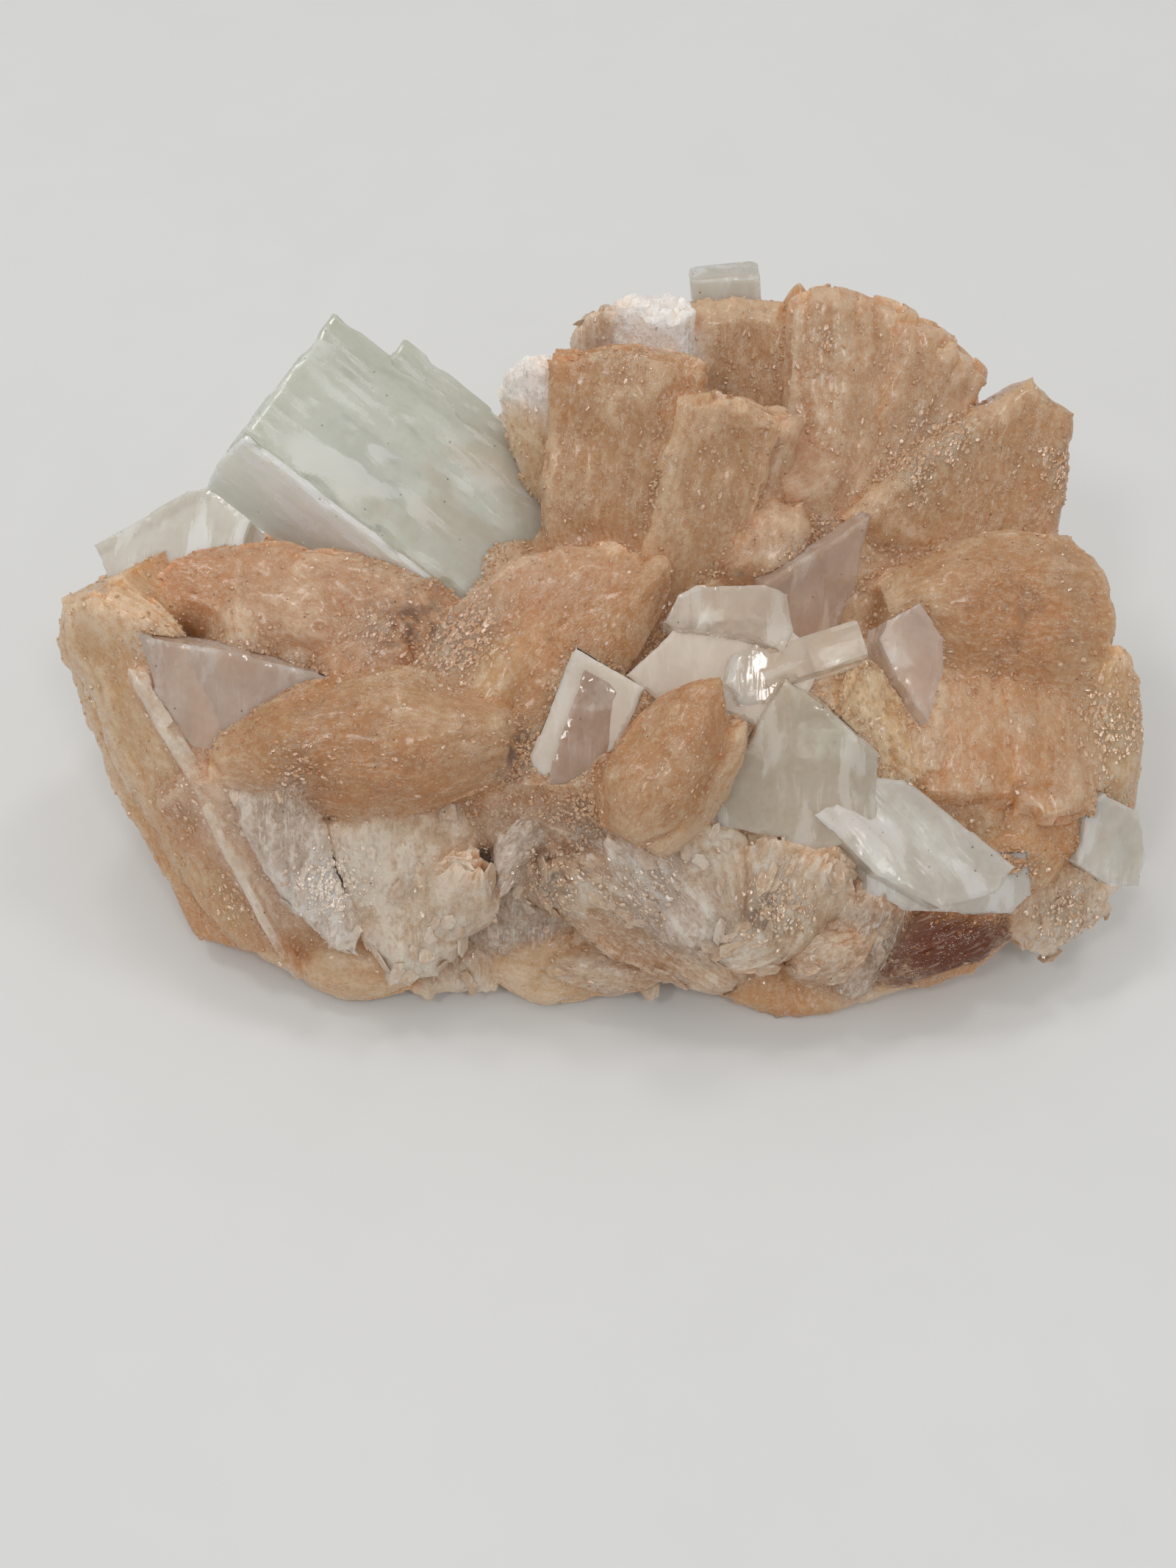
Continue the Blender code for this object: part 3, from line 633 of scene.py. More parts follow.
def lump_skin(lump: Lump, relief: Relief, seed: int) -> Skin:
    """One rough rounded stretch of the mass, a little fuller than an ellipsoid."""
    form = bmesh.new()
    bmesh.ops.create_icosphere(form, subdivisions=LUMP_SUBDIVISIONS, radius=1.0)
    unit = np.array([vertex.co for vertex in form.verts])
    faces = [[vertex.index for vertex in face.verts] for face in form.faces]
    form.free()
    radii = np.array(lump.radii)
    points = np.copysign(np.abs(unit) ** LUMP_FULLNESS, unit) * radii
    points += wobble(points, seed) * radii.max() * LUMP_UNEVENNESS
    grain = points.copy()
    outward = unit / np.linalg.norm(unit, axis=1, keepdims=True)
    value, offset, _ = cell_pattern(points, (1.6, 2.8, 1.6), seed + 18)
    chips = value - 0.5 + (np.mod(value * 7.13, 1.0) - 0.5) * offset[:, 0]
    points += outward * (relief.splinter_depth * chips + relief.grit * smooth_noise(points, 1.0, seed))[:, None]
    return Skin(points, faces, grain)


@dataclass
class Wiring:
    """Adds nodes to one node tree and joins them up."""

    tree: bpy.types.NodeTree

    def node(self, kind: str, settings: dict | None = None, **inputs: object) -> bpy.types.Node:
        """Adds a node.

        Args:
            kind: the node's type.
            settings: values of its own properties.
            inputs: what feeds its inputs, by their names with _ for a space: a socket or a value.

        Returns:
            The node.
        """
        made = self.tree.nodes.new(kind)
        for name, value in (settings or {}).items():
            setattr(made, name, value)
        for name, value in inputs.items():
            self.feed(made.inputs[name.replace("_", " ")], value)
        return made

    def feed(self, socket: bpy.types.NodeSocket, value: object) -> None:
        """Links a socket to the input, or sets the input to a plain value."""
        if isinstance(value, bpy.types.NodeSocket):
            self.tree.links.new(value, socket)
        else:
            socket.default_value = value

    def math(self, operation: str, first: object, second: object = 0.0) -> bpy.types.NodeSocket:
        """One step of arithmetic on two sockets or numbers."""
        made = self.tree.nodes.new("ShaderNodeMath")
        made.operation = operation
        self.feed(made.inputs[0], first)
        self.feed(made.inputs[1], second)
        return made.outputs[0]

    def product(self, *factors: object) -> bpy.types.NodeSocket:
        """The product of several sockets or numbers."""
        total = factors[0]
        for factor in factors[1:]:
            total = self.math("MULTIPLY", total, factor)
        return total

    def vector(self, operation: str, first: object, second: object) -> bpy.types.NodeSocket:
        """One step of arithmetic on two vectors, or on a vector and the number that scales it."""
        made = self.tree.nodes.new("ShaderNodeVectorMath")
        made.operation = operation
        self.feed(made.inputs[0], first)
        self.feed(made.inputs["Scale" if operation == "SCALE" else 1], second)
        return made.outputs[0]

    def stretch(self, vector: object, scale: Point) -> bpy.types.NodeSocket:
        """A vector with each of its axes scaled."""
        return self.vector("MULTIPLY", vector, scale)

    def lean(self, colour: object, amount: object) -> bpy.types.NodeSocket:
        """A cell's own colour turned into a tilt to any side."""
        return self.vector("SCALE", self.vector("SUBTRACT", colour, (0.5, 0.5, 0.5)), amount)

    def cells(self, vector: object, scale: float = 1.0) -> tuple[bpy.types.Node, bpy.types.Node]:
        """Irregular cells, and each cell's own random values."""
        made = self.node("ShaderNodeTexVoronoi", Vector=vector, Scale=scale)
        return made, self.node("ShaderNodeSeparateColor", Color=made.outputs["Color"])

    def near(self, value: object, middle: float, low: float, high: float) -> bpy.types.NodeSocket:
        """A soft step by how far a value is from the middle."""
        return self.ramp(self.math("ABSOLUTE", self.math("SUBTRACT", value, middle)), low, high)

    def mix(self, share: object, first: object, second: object) -> bpy.types.NodeSocket:
        """A colour between two colours."""
        made = self.tree.nodes.new("ShaderNodeMix")
        made.data_type = "RGBA"
        for place, value in ((0, share), (6, first), (7, second)):
            self.feed(made.inputs[place], (*value, 1.0) if isinstance(value, tuple) else value)
        return made.outputs[2]

    def ramp(self, value: object, low: float, high: float) -> bpy.types.NodeSocket:
        """A soft step from 0 at low to 1 at high, or back down where low is the greater."""
        made = self.node("ShaderNodeMapRange", {"interpolation_type": "SMOOTHSTEP"}, Value=value)
        made.inputs["From Min"].default_value = min(low, high)
        made.inputs["From Max"].default_value = max(low, high)
        made.inputs["To Min"].default_value = float(low > high)
        made.inputs["To Max"].default_value = float(low < high)
        return made.outputs[0]

    def noise(self, vector: object, detail: float = 3.0, distortion: float = 0.0) -> bpy.types.NodeSocket:
        """Noise with one hill for each unit of the vector."""
        made = self.node("ShaderNodeTexNoise", Vector=vector, Scale=1.0, Detail=detail)
        made.inputs["Distortion"].default_value = distortion
        return made.outputs[0]

    def attribute(self, name: str) -> bpy.types.Node:
        """A node that reads one of the mesh's own values."""
        return self.node("ShaderNodeAttribute", {"attribute_name": name})


Sockets = dict[str, str]


def make_effect(
    name: str, inputs: Sockets, outputs: Sockets, wire: Callable[[Wiring, dict], dict]
) -> bpy.types.NodeTree:
    """Builds one effect as a shader node group.

    Args:
        name: the group's name.
        inputs: its inputs and their kinds, Float or Vector.
        outputs: its outputs and their kinds.
        wire: takes the wiring and the input sockets, and returns what feeds each output.

    Returns:
        The group.
    """
    tree = bpy.data.node_groups.new(name, "ShaderNodeTree")
    for direction, sockets in (("INPUT", inputs), ("OUTPUT", outputs)):
        for socket, kind in sockets.items():
            tree.interface.new_socket(name=socket, in_out=direction, socket_type=f"NodeSocket{kind}")
    wiring = Wiring(tree)
    start = tree.nodes.new("NodeGroupInput")
    end = tree.nodes.new("NodeGroupOutput")
    results = wire(wiring, {socket: start.outputs[socket] for socket in inputs})
    for socket, source in results.items():
        wiring.feed(end.inputs[socket], source)
    return tree


def wire_mottle(wiring: Wiring, given: dict) -> dict:
    """Soft uneven clouds, two sizes of them over each other."""
    spot = wiring.vector("SCALE", given["Spot"], wiring.math("DIVIDE", 1.0, given["Size"]))
    wide = wiring.noise(spot, 2.0, 0.4)
    fine = wiring.noise(wiring.stretch(spot, (5.1, 5.1, 5.1)), 1.0)
    both = wiring.math("ADD", wiring.product(wide, 0.65), wiring.product(fine, 0.35))
    return {"Value": wiring.ramp(both, 0.36, 0.64)}


def wire_hairlines(wiring: Wiring, given: dict) -> dict:
    """Thin broken lines along the grain, as partings between the fibres show."""
    grain = wiring.stretch(given["Grain"], (2.1, 0.34, 1.6))
    line = wiring.near(wiring.noise(grain, 2.0, 1.1), 0.5, 0.012, 0.002)
    cross = wiring.noise(wiring.stretch(given["Grain"], (0.9, 1.3, 0.9)), 2.0, 1.6)
    crack = wiring.near(cross, 0.47, 0.007, 0.001)
    patch = wiring.ramp(wiring.noise(wiring.stretch(given["Grain"], (0.45, 0.35, 0.4)), 1.0), 0.38, 0.58)
    both = wiring.math("MAXIMUM", line, wiring.product(crack, 0.7))
    return {"Mask": wiring.product(both, patch, given["Amount"])}


def wire_flecks(wiring: Wiring, given: dict) -> dict:
    """Short cleavage faces that lie along the grain: each tilts its own way, and is whitened as a painted glint."""
    grain = wiring.stretch(given["Grain"], (3.4, 1.9, 3.0))
    cells, kept = wiring.cells(grain)
    chance = wiring.math("GREATER_THAN", given["Amount"], kept.outputs[0])
    reach = wiring.math("ADD", 0.08, wiring.product(kept.outputs[1], kept.outputs[1], 0.42))
    dot = wiring.math("GREATER_THAN", reach, cells.outputs["Distance"])
    patch = wiring.ramp(wiring.noise(wiring.stretch(given["Grain"], (0.3, 0.22, 0.3)), 1.0), 0.45, 0.62)
    mask = wiring.product(chance, dot, patch)
    return {"Mask": mask, "Tilt": wiring.lean(cells.outputs["Color"], wiring.product(mask, 1.1))}


def wire_sugar(wiring: Wiring, given: dict) -> dict:
    """The small crystal ends that a face is made of: each leans its own way, and a few are whitened as painted glints.
    """
    cells, values = wiring.cells(wiring.stretch(given["Grain"], (3.5, 2.5, 3.3)))
    small, kept = wiring.cells(wiring.stretch(given["Grain"], (8.5, 6.5, 8.0)))
    leans = (
        wiring.lean(node.outputs["Color"], wiring.product(given["Amount"], size))
        for node, size in ((cells, 0.9), (small, 0.7))
    )
    patch = wiring.ramp(wiring.noise(wiring.stretch(given["Grain"], (0.5, 0.35, 0.5)), 1.0), 0.44, 0.62)
    share = wiring.math("GREATER_THAN", wiring.math("ADD", wiring.product(patch, 0.34), 0.08), kept.outputs[2])
    dot = wiring.ramp(small.outputs["Distance"], 0.42, 0.22)
    tilt = wiring.vector("ADD", *leans)
    return {"Tilt": tilt, "Grains": wiring.product(share, dot, 0.8), "Shade": values.outputs[1]}


def wire_fibres(wiring: Wiring, given: dict) -> dict:
    """Fine fibres along the grain: a height, and white streaks where they have parted."""
    fine = wiring.noise(wiring.stretch(given["Grain"], (6.0, 0.7, 4.0)), 1.0, 0.5)
    coarse = wiring.noise(wiring.stretch(given["Grain"], (1.8, 0.28, 1.5)), 2.0, 0.8)
    height = wiring.math("ADD", wiring.product(fine, 0.6), wiring.product(coarse, 0.7))
    streak = wiring.product(wiring.ramp(fine, 0.53, 0.66), wiring.ramp(coarse, 0.44, 0.60))
    return {"Height": height, "Streaks": wiring.product(streak, given["Amount"])}


def wire_dirt_and_shade(wiring: Wiring, given: dict) -> dict:
    """A brown film in clouds, as strong as the value given, and a few dark specks. The film is dirt in some places and
    painted shade in recesses in others.
    """
    clouds = wiring.noise(wiring.stretch(given["Spot"], (0.8, 0.8, 0.8)), 3.0, 0.6)
    film = wiring.product(wiring.ramp(clouds, 0.40, 0.68), given["Soil"])
    cells, kept = wiring.cells(given["Spot"], 0.85)
    dot = wiring.ramp(cells.outputs["Distance"], 0.085, 0.045)
    specks = wiring.product(dot, wiring.math("GREATER_THAN", 0.45, kept.outputs[0]))
    return {"Film": film, "Specks": specks}


def wire_veils(wiring: Wiring, given: dict) -> dict:
    """White veils and streaks inside a crystal, drawn out along it, and fine striations."""
    long = wiring.noise(wiring.stretch(given["Grain"], (0.42, 0.13, 0.42)), 3.0, 0.9)
    streak = wiring.noise(wiring.stretch(given["Grain"], (1.7, 0.22, 1.7)), 2.0, 0.4)
    veil = wiring.ramp(long, 0.50, 0.66)
    lines = wiring.product(wiring.ramp(streak, 0.56, 0.68), wiring.ramp(long, 0.42, 0.60))
    mask = wiring.product(wiring.math("MAXIMUM", veil, lines), given["Amount"])
    fine = wiring.noise(wiring.stretch(given["Grain"], (3.6, 0.3, 3.6)), 1.0, 0.3)
    pits = wiring.noise(wiring.stretch(given["Grain"], (1.5, 1.5, 1.5)), 3.0)
    height = wiring.math("ADD", wiring.product(fine, 0.5), wiring.product(pits, 0.6))
    return {"Mask": mask, "Height": height}


@dataclass
class Effects:
    """The node groups that several finishes share."""

    mottle: bpy.types.NodeTree
    hairlines: bpy.types.NodeTree
    flecks: bpy.types.NodeTree
    sugar: bpy.types.NodeTree
    fibres: bpy.types.NodeTree
    soil: bpy.types.NodeTree
    veils: bpy.types.NodeTree

    @classmethod
    def build(cls) -> "Effects":
        """Builds every group once."""
        grain = {"Grain": "Vector", "Amount": "Float"}
        shape = {"Mask": "Float", "Height": "Float"}
        return cls(
            mottle=make_effect("mottle", {"Spot": "Vector", "Size": "Float"}, {"Value": "Float"}, wire_mottle),
            hairlines=make_effect("hairlines", grain, {"Mask": "Float"}, wire_hairlines),
            flecks=make_effect("flecks", grain, {"Mask": "Float", "Tilt": "Vector"}, wire_flecks),
            sugar=make_effect(
                "sugar", grain, {"Tilt": "Vector", "Grains": "Float", "Shade": "Float"}, wire_sugar
            ),
            fibres=make_effect("fibres", grain, {"Height": "Float", "Streaks": "Float"}, wire_fibres),
            soil=make_effect(
                "soil", {"Spot": "Vector", "Soil": "Float"}, {"Film": "Float", "Specks": "Float"}, wire_dirt_and_shade
            ),
            veils=make_effect("veils", grain, shape, wire_veils),
        )


def place_effect(wiring: Wiring, effect: bpy.types.NodeTree, **inputs: object) -> bpy.types.Node:
    """Puts one effect into a material, with its own values."""
    made = wiring.tree.nodes.new("ShaderNodeGroup")
    made.node_tree = effect
    for name, value in inputs.items():
        wiring.feed(made.inputs[name], value)
    return made


def new_material(name: str) -> tuple[bpy.types.Material, Wiring, bpy.types.Node]:
    """A material with its wiring and its Principled shader."""
    material = bpy.data.materials.new(name)
    material.use_nodes = True
    wiring = Wiring(material.node_tree)
    return material, wiring, material.node_tree.nodes["Principled BSDF"]


def spot_in_mm(wiring: Wiring) -> bpy.types.NodeSocket:
    """The place on the object, in design millimetres."""
    place = wiring.tree.nodes.new("ShaderNodeTexCoord").outputs["Object"]
    return wiring.stretch(place, (1 / MM, 1 / MM, 1 / MM))


# The mesh's own values that carry a look's three colours
COLOUR_NAMES = ("tint", "deep", "pale")

DIRT_AND_SHADE_COLOUR = (0.13, 0.085, 0.06)
SPECK_COLOUR = (0.05, 0.035, 0.028)
PARTING_AND_GLINT_WHITE = (0.88, 0.80, 0.72)

# How far clouds, hollows and crests push the colour, and from where to where the push darkens.
# The hollows' push and the darkening paint shade into creases and recesses; the crests' push
# paints light onto crests and thin edges.
CLOUD_PUSH = 0.45
HOLLOW_PUSH = 0.75
CREST_PUSH = 0.75
DARKENING = (1.1, 2.6)

# How strongly white marks and dark specks cover the colour under them. The white marks are partings and fibre streaks,
# and painted glints.
WHITE_SHARE = 0.62
SPECK_SHARE = 0.8

# Depths of the fine relief, and how far light runs in, in design millimetres
STILBITE_BUMP = 0.16
STILBITE_SCATTER = 2.2
APOPHYLLITE_BUMP = 0.08
APOPHYLLITE_SCATTER = 1.2

# Refractive indices of the two minerals
STILBITE_IOR = 1.50
APOPHYLLITE_IOR = 1.535


@dataclass(frozen=True)
class StilbiteFinish:
    """How one look of the stilbite is coloured and worked.

    tint, deep and pale are the usual colour and the two that it runs to. The amounts, from 0
    to 1, are how much of each effect it shows.
    """

    tint: Colour
    deep: Colour
    pale: Colour
    relief: Relief = Relief()
    roughness: float = 0.32
    hairlines: float = 0.6
    flecks: float = 0.12
    fibres: float = 0.15
    bump: float = 0.55
    sugar: float = 0.36
    scatter: float = 0.85

    def material(self, name: str, effects: Effects) -> bpy.types.Material:
        """Builds the material.

        Args:
            name: the look's name.
            effects: the shared node groups.

        Returns:
            The material.
        """
        material, wiring, surface = new_material(f"stilbite_{name}")
        spot = spot_in_mm(wiring)
        grain, tint, deep, pale = (
            wiring.attribute(name).outputs["Vector"] for name in ("grain", *COLOUR_NAMES)
        )
        warmth, hollow, crest, soil = (
            wiring.attribute(name).outputs["Fac"] for name in ("warmth", "hollow", "crest", "soil")
        )

        clouds = place_effect(wiring, effects.mottle, Spot=spot, Size=3.4).outputs["Value"]
        grit = place_effect(wiring, effects.mottle, Spot=spot, Size=0.4).outputs["Value"]
        sugar = place_effect(wiring, effects.sugar, Grain=grain, Amount=self.sugar)
        lines = place_effect(wiring, effects.hairlines, Grain=grain, Amount=self.hairlines).outputs["Mask"]
        flecks = place_effect(wiring, effects.flecks, Grain=grain, Amount=self.flecks)
        fibres = place_effect(wiring, effects.fibres, Grain=grain, Amount=self.fibres)
        film_and_specks = place_effect(wiring, effects.soil, Spot=spot, Soil=soil)

        cloud_push = wiring.math("SUBTRACT", clouds, 0.5)
        warm = wiring.math("ADD", warmth, wiring.product(cloud_push, CLOUD_PUSH))
        # Hollows run to the deep colour and darken: painted shade in the creases
        warm = wiring.math("ADD", warm, wiring.product(hollow, HOLLOW_PUSH))
        to_deep = wiring.ramp(warm, 0.0, 1.0)
        # Crests and thin edges run to the pale colour: painted light shining through them
        paleness = wiring.math("SUBTRACT", wiring.product(crest, CREST_PUSH), warm)
        to_pale = wiring.ramp(paleness, 0.0, 1.0)
        colour = wiring.mix(to_deep, tint, deep)
        colour = wiring.mix(to_pale, colour, pale)
        colour = wiring.mix(wiring.product(grit, 0.24), colour, pale)
        shade = sugar.outputs["Shade"]
        colour = wiring.mix(wiring.product(wiring.ramp(shade, 0.55, 1.0), 0.34), colour, pale)
        colour = wiring.mix(wiring.product(wiring.ramp(shade, 0.45, 0.0), 0.28), colour, deep)
        # Where warmth runs high, in deep hollows and strong stains, the colour darkens further: painted shade in the
        # recesses
        dark = wiring.ramp(warm, *DARKENING)
        colour = wiring.mix(dark, colour, deep)
        # White marks: hairline partings and fibre streaks, and painted glints where flecks and white grains are
        white = wiring.math("MAXIMUM", lines, wiring.product(fibres.outputs["Streaks"], 0.9))
        white = wiring.math("MAXIMUM", white, wiring.product(flecks.outputs["Mask"], 0.7))
        white = wiring.math("MAXIMUM", white, sugar.outputs["Grains"])
        colour = wiring.mix(wiring.product(white, WHITE_SHARE), colour, PARTING_AND_GLINT_WHITE)
        # The brown film: dirt in some places, painted shade in recesses in others
        colour = wiring.mix(film_and_specks.outputs["Film"], colour, DIRT_AND_SHADE_COLOUR)
        colour = wiring.mix(wiring.product(film_and_specks.outputs["Specks"], SPECK_SHARE), colour, SPECK_COLOUR)
        wiring.feed(surface.inputs["Base Color"], colour)

        rough = wiring.math("ADD", self.roughness, wiring.product(cloud_push, 0.18))
        rough = wiring.math("ADD", rough, wiring.product(film_and_specks.outputs["Film"], 0.4))
        rough = wiring.math("SUBTRACT", rough, wiring.product(flecks.outputs["Mask"], self.roughness * 0.85))
        wiring.feed(surface.inputs["Roughness"], rough)

        raised = wiring.product(fibres.outputs["Height"], 0.3 + 1.4 * self.fibres)
        height = wiring.math("ADD", wiring.product(grit, 0.6), raised)
        bump = wiring.node("ShaderNodeBump", Strength=self.bump, Distance=STILBITE_BUMP * MM, Height=height)
        both = wiring.vector("ADD", sugar.outputs["Tilt"], flecks.outputs["Tilt"])
        tilted = wiring.vector("ADD", bump.outputs[0], both)
        unit = wiring.node("ShaderNodeVectorMath", {"operation": "NORMALIZE"}, Vector=tilted)
        wiring.feed(surface.inputs["Normal"], unit.outputs[0])

        surface.inputs["IOR"].default_value = STILBITE_IOR
        clean = wiring.math("SUBTRACT", 1.0, wiring.math("MAXIMUM", film_and_specks.outputs["Film"], dark))
        wiring.feed(surface.inputs["Coat Weight"], wiring.product(clean, 0.3))
        surface.inputs["Coat Roughness"].default_value = 0.14
        surface.inputs["Subsurface Weight"].default_value = self.scatter
        surface.inputs["Subsurface Radius"].default_value = (1.0, 0.52, 0.30)
        surface.inputs["Subsurface Scale"].default_value = STILBITE_SCATTER * MM
        surface.subsurface_method = "BURLEY"
        return material


BROKEN = Relief(1.0, 0.13, 0.24, 0.30, (1.5, 5.5), 1.2, 0.8, 0.04, 0.2)

STILBITE_FINISHES = {
    TAN: StilbiteFinish((0.480, 0.250, 0.110), (0.47, 0.190, 0.055), (0.66, 0.450, 0.275)),
    PEACH: StilbiteFinish(
        (0.60, 0.345, 0.155), (0.56, 0.240, 0.075), (0.76, 0.56, 0.37), Relief(2.1, 0.12, 0.14),
        roughness=0.30, hairlines=0.45,
    ),
    PINK: StilbiteFinish(
        (0.530, 0.285, 0.150), (0.52, 0.220, 0.080), (0.69, 0.48, 0.315), Relief(1.7, 0.12, 0.13, grit=0.08),
        hairlines=0.45, flecks=0.16,
    ),
    FLUTED: StilbiteFinish(
        (0.56, 0.320, 0.170), (0.54, 0.235, 0.080), (0.70, 0.50, 0.33),
        Relief(2.2, 0.34, 0.10, tip_step=1.0, grit=0.07, edge_radius=0.6),
        hairlines=0.45, flecks=0.10,
    ),
    # Amber's deep colour is nearly black-brown: with a strong stain it paints the shade of the hollow at the front
    # right
    AMBER: StilbiteFinish(
        (0.60, 0.330, 0.140), (0.125, 0.024, 0.001), (0.70, 0.50, 0.30), Relief(0.9, 0.12, 0.2, 0.3, (0.7, 3.2)),
        roughness=0.42, hairlines=0.25, flecks=0.05, fibres=0.3, sugar=0.2, scatter=0.5,
    ),
    # Pearl's near-white colours are the pearly faces' pale colour with their sheen painted in
    PEARL: StilbiteFinish(
        (0.98, 0.93, 0.88), (0.94, 0.84, 0.75), (0.99, 0.96, 0.93), Relief(1.1, 0.06, 0.16, 0.22, (0.9, 1.4)),
        roughness=0.16, hairlines=0.7, flecks=0.4, fibres=0.3, bump=0.7, sugar=0.5, scatter=0.4,
    ),
    RIDGE: StilbiteFinish(
        (0.68, 0.53, 0.40), (0.60, 0.40, 0.25), (0.80, 0.69, 0.58), Relief(1.1, 0.05, 0.10, 0.12, (0.9, 2.4)),
        roughness=0.24, hairlines=0.7, flecks=0.3, fibres=0.5, bump=0.6, sugar=0.4, scatter=0.5,
    ),
    PALE: StilbiteFinish(
        (0.570, 0.385, 0.240), (0.40, 0.200, 0.085), (0.75, 0.62, 0.49), BROKEN,
        roughness=0.28, flecks=0.25, fibres=0.5, bump=0.5, sugar=0.4, scatter=0.6,
    ),
    SILVER: StilbiteFinish(
        (0.52, 0.375, 0.275), (0.32, 0.195, 0.115), (0.80, 0.70, 0.61), BROKEN,
        roughness=0.22, flecks=0.35, fibres=0.8, bump=0.5, sugar=0.45, scatter=0.5,
    ),
    CORE: StilbiteFinish(
        (0.54, 0.325, 0.17), (0.46, 0.21, 0.08), (0.68, 0.49, 0.33), Relief(splinter_depth=0.5, grit=0.10),
        roughness=0.38, hairlines=0.4, flecks=0.2, fibres=0.4, bump=0.6, sugar=0.4,
    ),
    SUGAR: StilbiteFinish(
        (0.67, 0.47, 0.31), (0.60, 0.33, 0.16), (0.81, 0.68, 0.54),
        roughness=0.10, hairlines=0.0, flecks=0.0, fibres=0.1, bump=0.1, sugar=0.05, scatter=0.0,
    ),
    FLAKE: StilbiteFinish(
        (0.66, 0.50, 0.375), (0.58, 0.37, 0.22), (0.84, 0.74, 0.64),
        roughness=0.12, hairlines=0.3, flecks=0.0, fibres=0.7, bump=0.3, sugar=0.15, scatter=0.0,
    ),
}


@dataclass(frozen=True)
class CrystalFinish:
    """How the apophyllite is coloured. clarity is how much light passes straight through."""

    tint: Colour
    veil: Colour
    clarity: float
    roughness: float = 0.10
    veils: float = 0.7
    relief: Relief = Relief(1.9, 0.03, 0.035, 0.0, (1.0, 1.0), 0.35, 0.16, 0.010, 0.14)

    def material(self, name: str, effects: Effects) -> bpy.types.Material:
        """Builds the material.

        Args:
            name: the finish's name.
            effects: the shared node groups.

        Returns:
            The material.
        """
        material, wiring, surface = new_material(f"apophyllite_{name}")
        spot = spot_in_mm(wiring)
        grain = wiring.attribute("grain").outputs["Vector"]
        veils = place_effect(wiring, effects.veils, Grain=grain, Amount=self.veils)
        clouds = place_effect(wiring, effects.mottle, Spot=spot, Size=2.2).outputs["Value"]
        film_and_specks = place_effect(wiring, effects.soil, Spot=spot, Soil=0.0)
        colour = wiring.mix(wiring.product(clouds, 0.3), self.tint, self.veil)
        colour = wiring.mix(veils.outputs["Mask"], colour, self.veil)
        colour = wiring.mix(wiring.product(film_and_specks.outputs["Specks"], 0.7), colour, SPECK_COLOUR)
        wiring.feed(surface.inputs["Base Color"], colour)
        rough = wiring.math("ADD", self.roughness, wiring.product(veils.outputs["Mask"], 0.28))
        rough = wiring.math("ADD", rough, wiring.product(clouds, 0.10))
        wiring.feed(surface.inputs["Roughness"], rough)
        raised = veils.outputs["Height"]
        bump = wiring.node("ShaderNodeBump", Strength=0.30, Distance=APOPHYLLITE_BUMP * MM, Height=raised)
        wiring.feed(surface.inputs["Normal"], bump.outputs[0])
        surface.inputs["IOR"].default_value = APOPHYLLITE_IOR
        surface.inputs["Transmission Weight"].default_value = self.clarity
        surface.inputs["Subsurface Weight"].default_value = 1.0
        surface.inputs["Subsurface Radius"].default_value = (1.0, 1.0, 0.9)
        surface.inputs["Subsurface Scale"].default_value = APOPHYLLITE_SCATTER * MM
        return material


CRYSTAL_FINISHES = {
    MILKY: CrystalFinish((0.655, 0.665, 0.575), (0.83, 0.835, 0.78), 0.36, 0.09, 1.0),
    FROSTED: CrystalFinish((0.72, 0.68, 0.60), (0.90, 0.89, 0.85), 0.36, 0.12, 1.0),
    SMOKY: CrystalFinish((0.74, 0.60, 0.50), (0.88, 0.80, 0.73), 0.52, 0.09, 0.8),
    SUGARED: CrystalFinish((0.72, 0.63, 0.53), (0.86, 0.80, 0.72), 0.15, 0.34, 0.6),
    SAGE: CrystalFinish((0.645, 0.585, 0.47), (0.85, 0.82, 0.74), 0.42, 0.10, 0.9),
    # A lighter copy of the milky finish: painted light on the large crystal's lower side face
    BRIGHT: CrystalFinish((0.88, 0.885, 0.83), (0.96, 0.96, 0.94), 0.22, 0.12, 1.0),
    DUSKY: CrystalFinish((0.61, 0.455, 0.355), (0.84, 0.74, 0.66), 0.52, 0.09, 0.8),
    CLEAR: CrystalFinish((0.76, 0.66, 0.55), (0.89, 0.85, 0.78), 0.58, 0.06, 0.9),
}


def veil_material(effects: Effects) -> bpy.types.Material:
    """White partings inside a crystal, denser in some streaks than in others."""
    material, wiring, surface = new_material("veil")
    grain = wiring.attribute("grain").outputs["Vector"]
    streaks = place_effect(wiring, effects.veils, Grain=grain, Amount=1.0).outputs["Mask"]
    clouds = place_effect(wiring, effects.mottle, Spot=grain, Size=0.8).outputs["Value"]
    alpha = wiring.math("ADD", wiring.product(streaks, clouds, 0.85), wiring.product(clouds, 0.12))
    wiring.feed(surface.inputs["Alpha"], alpha)
    wiring.feed(surface.inputs["Base Color"], wiring.mix(clouds, (0.92, 0.93, 0.91), (0.84, 0.85, 0.82)))
    surface.inputs["Roughness"].default_value = 0.3
    return material


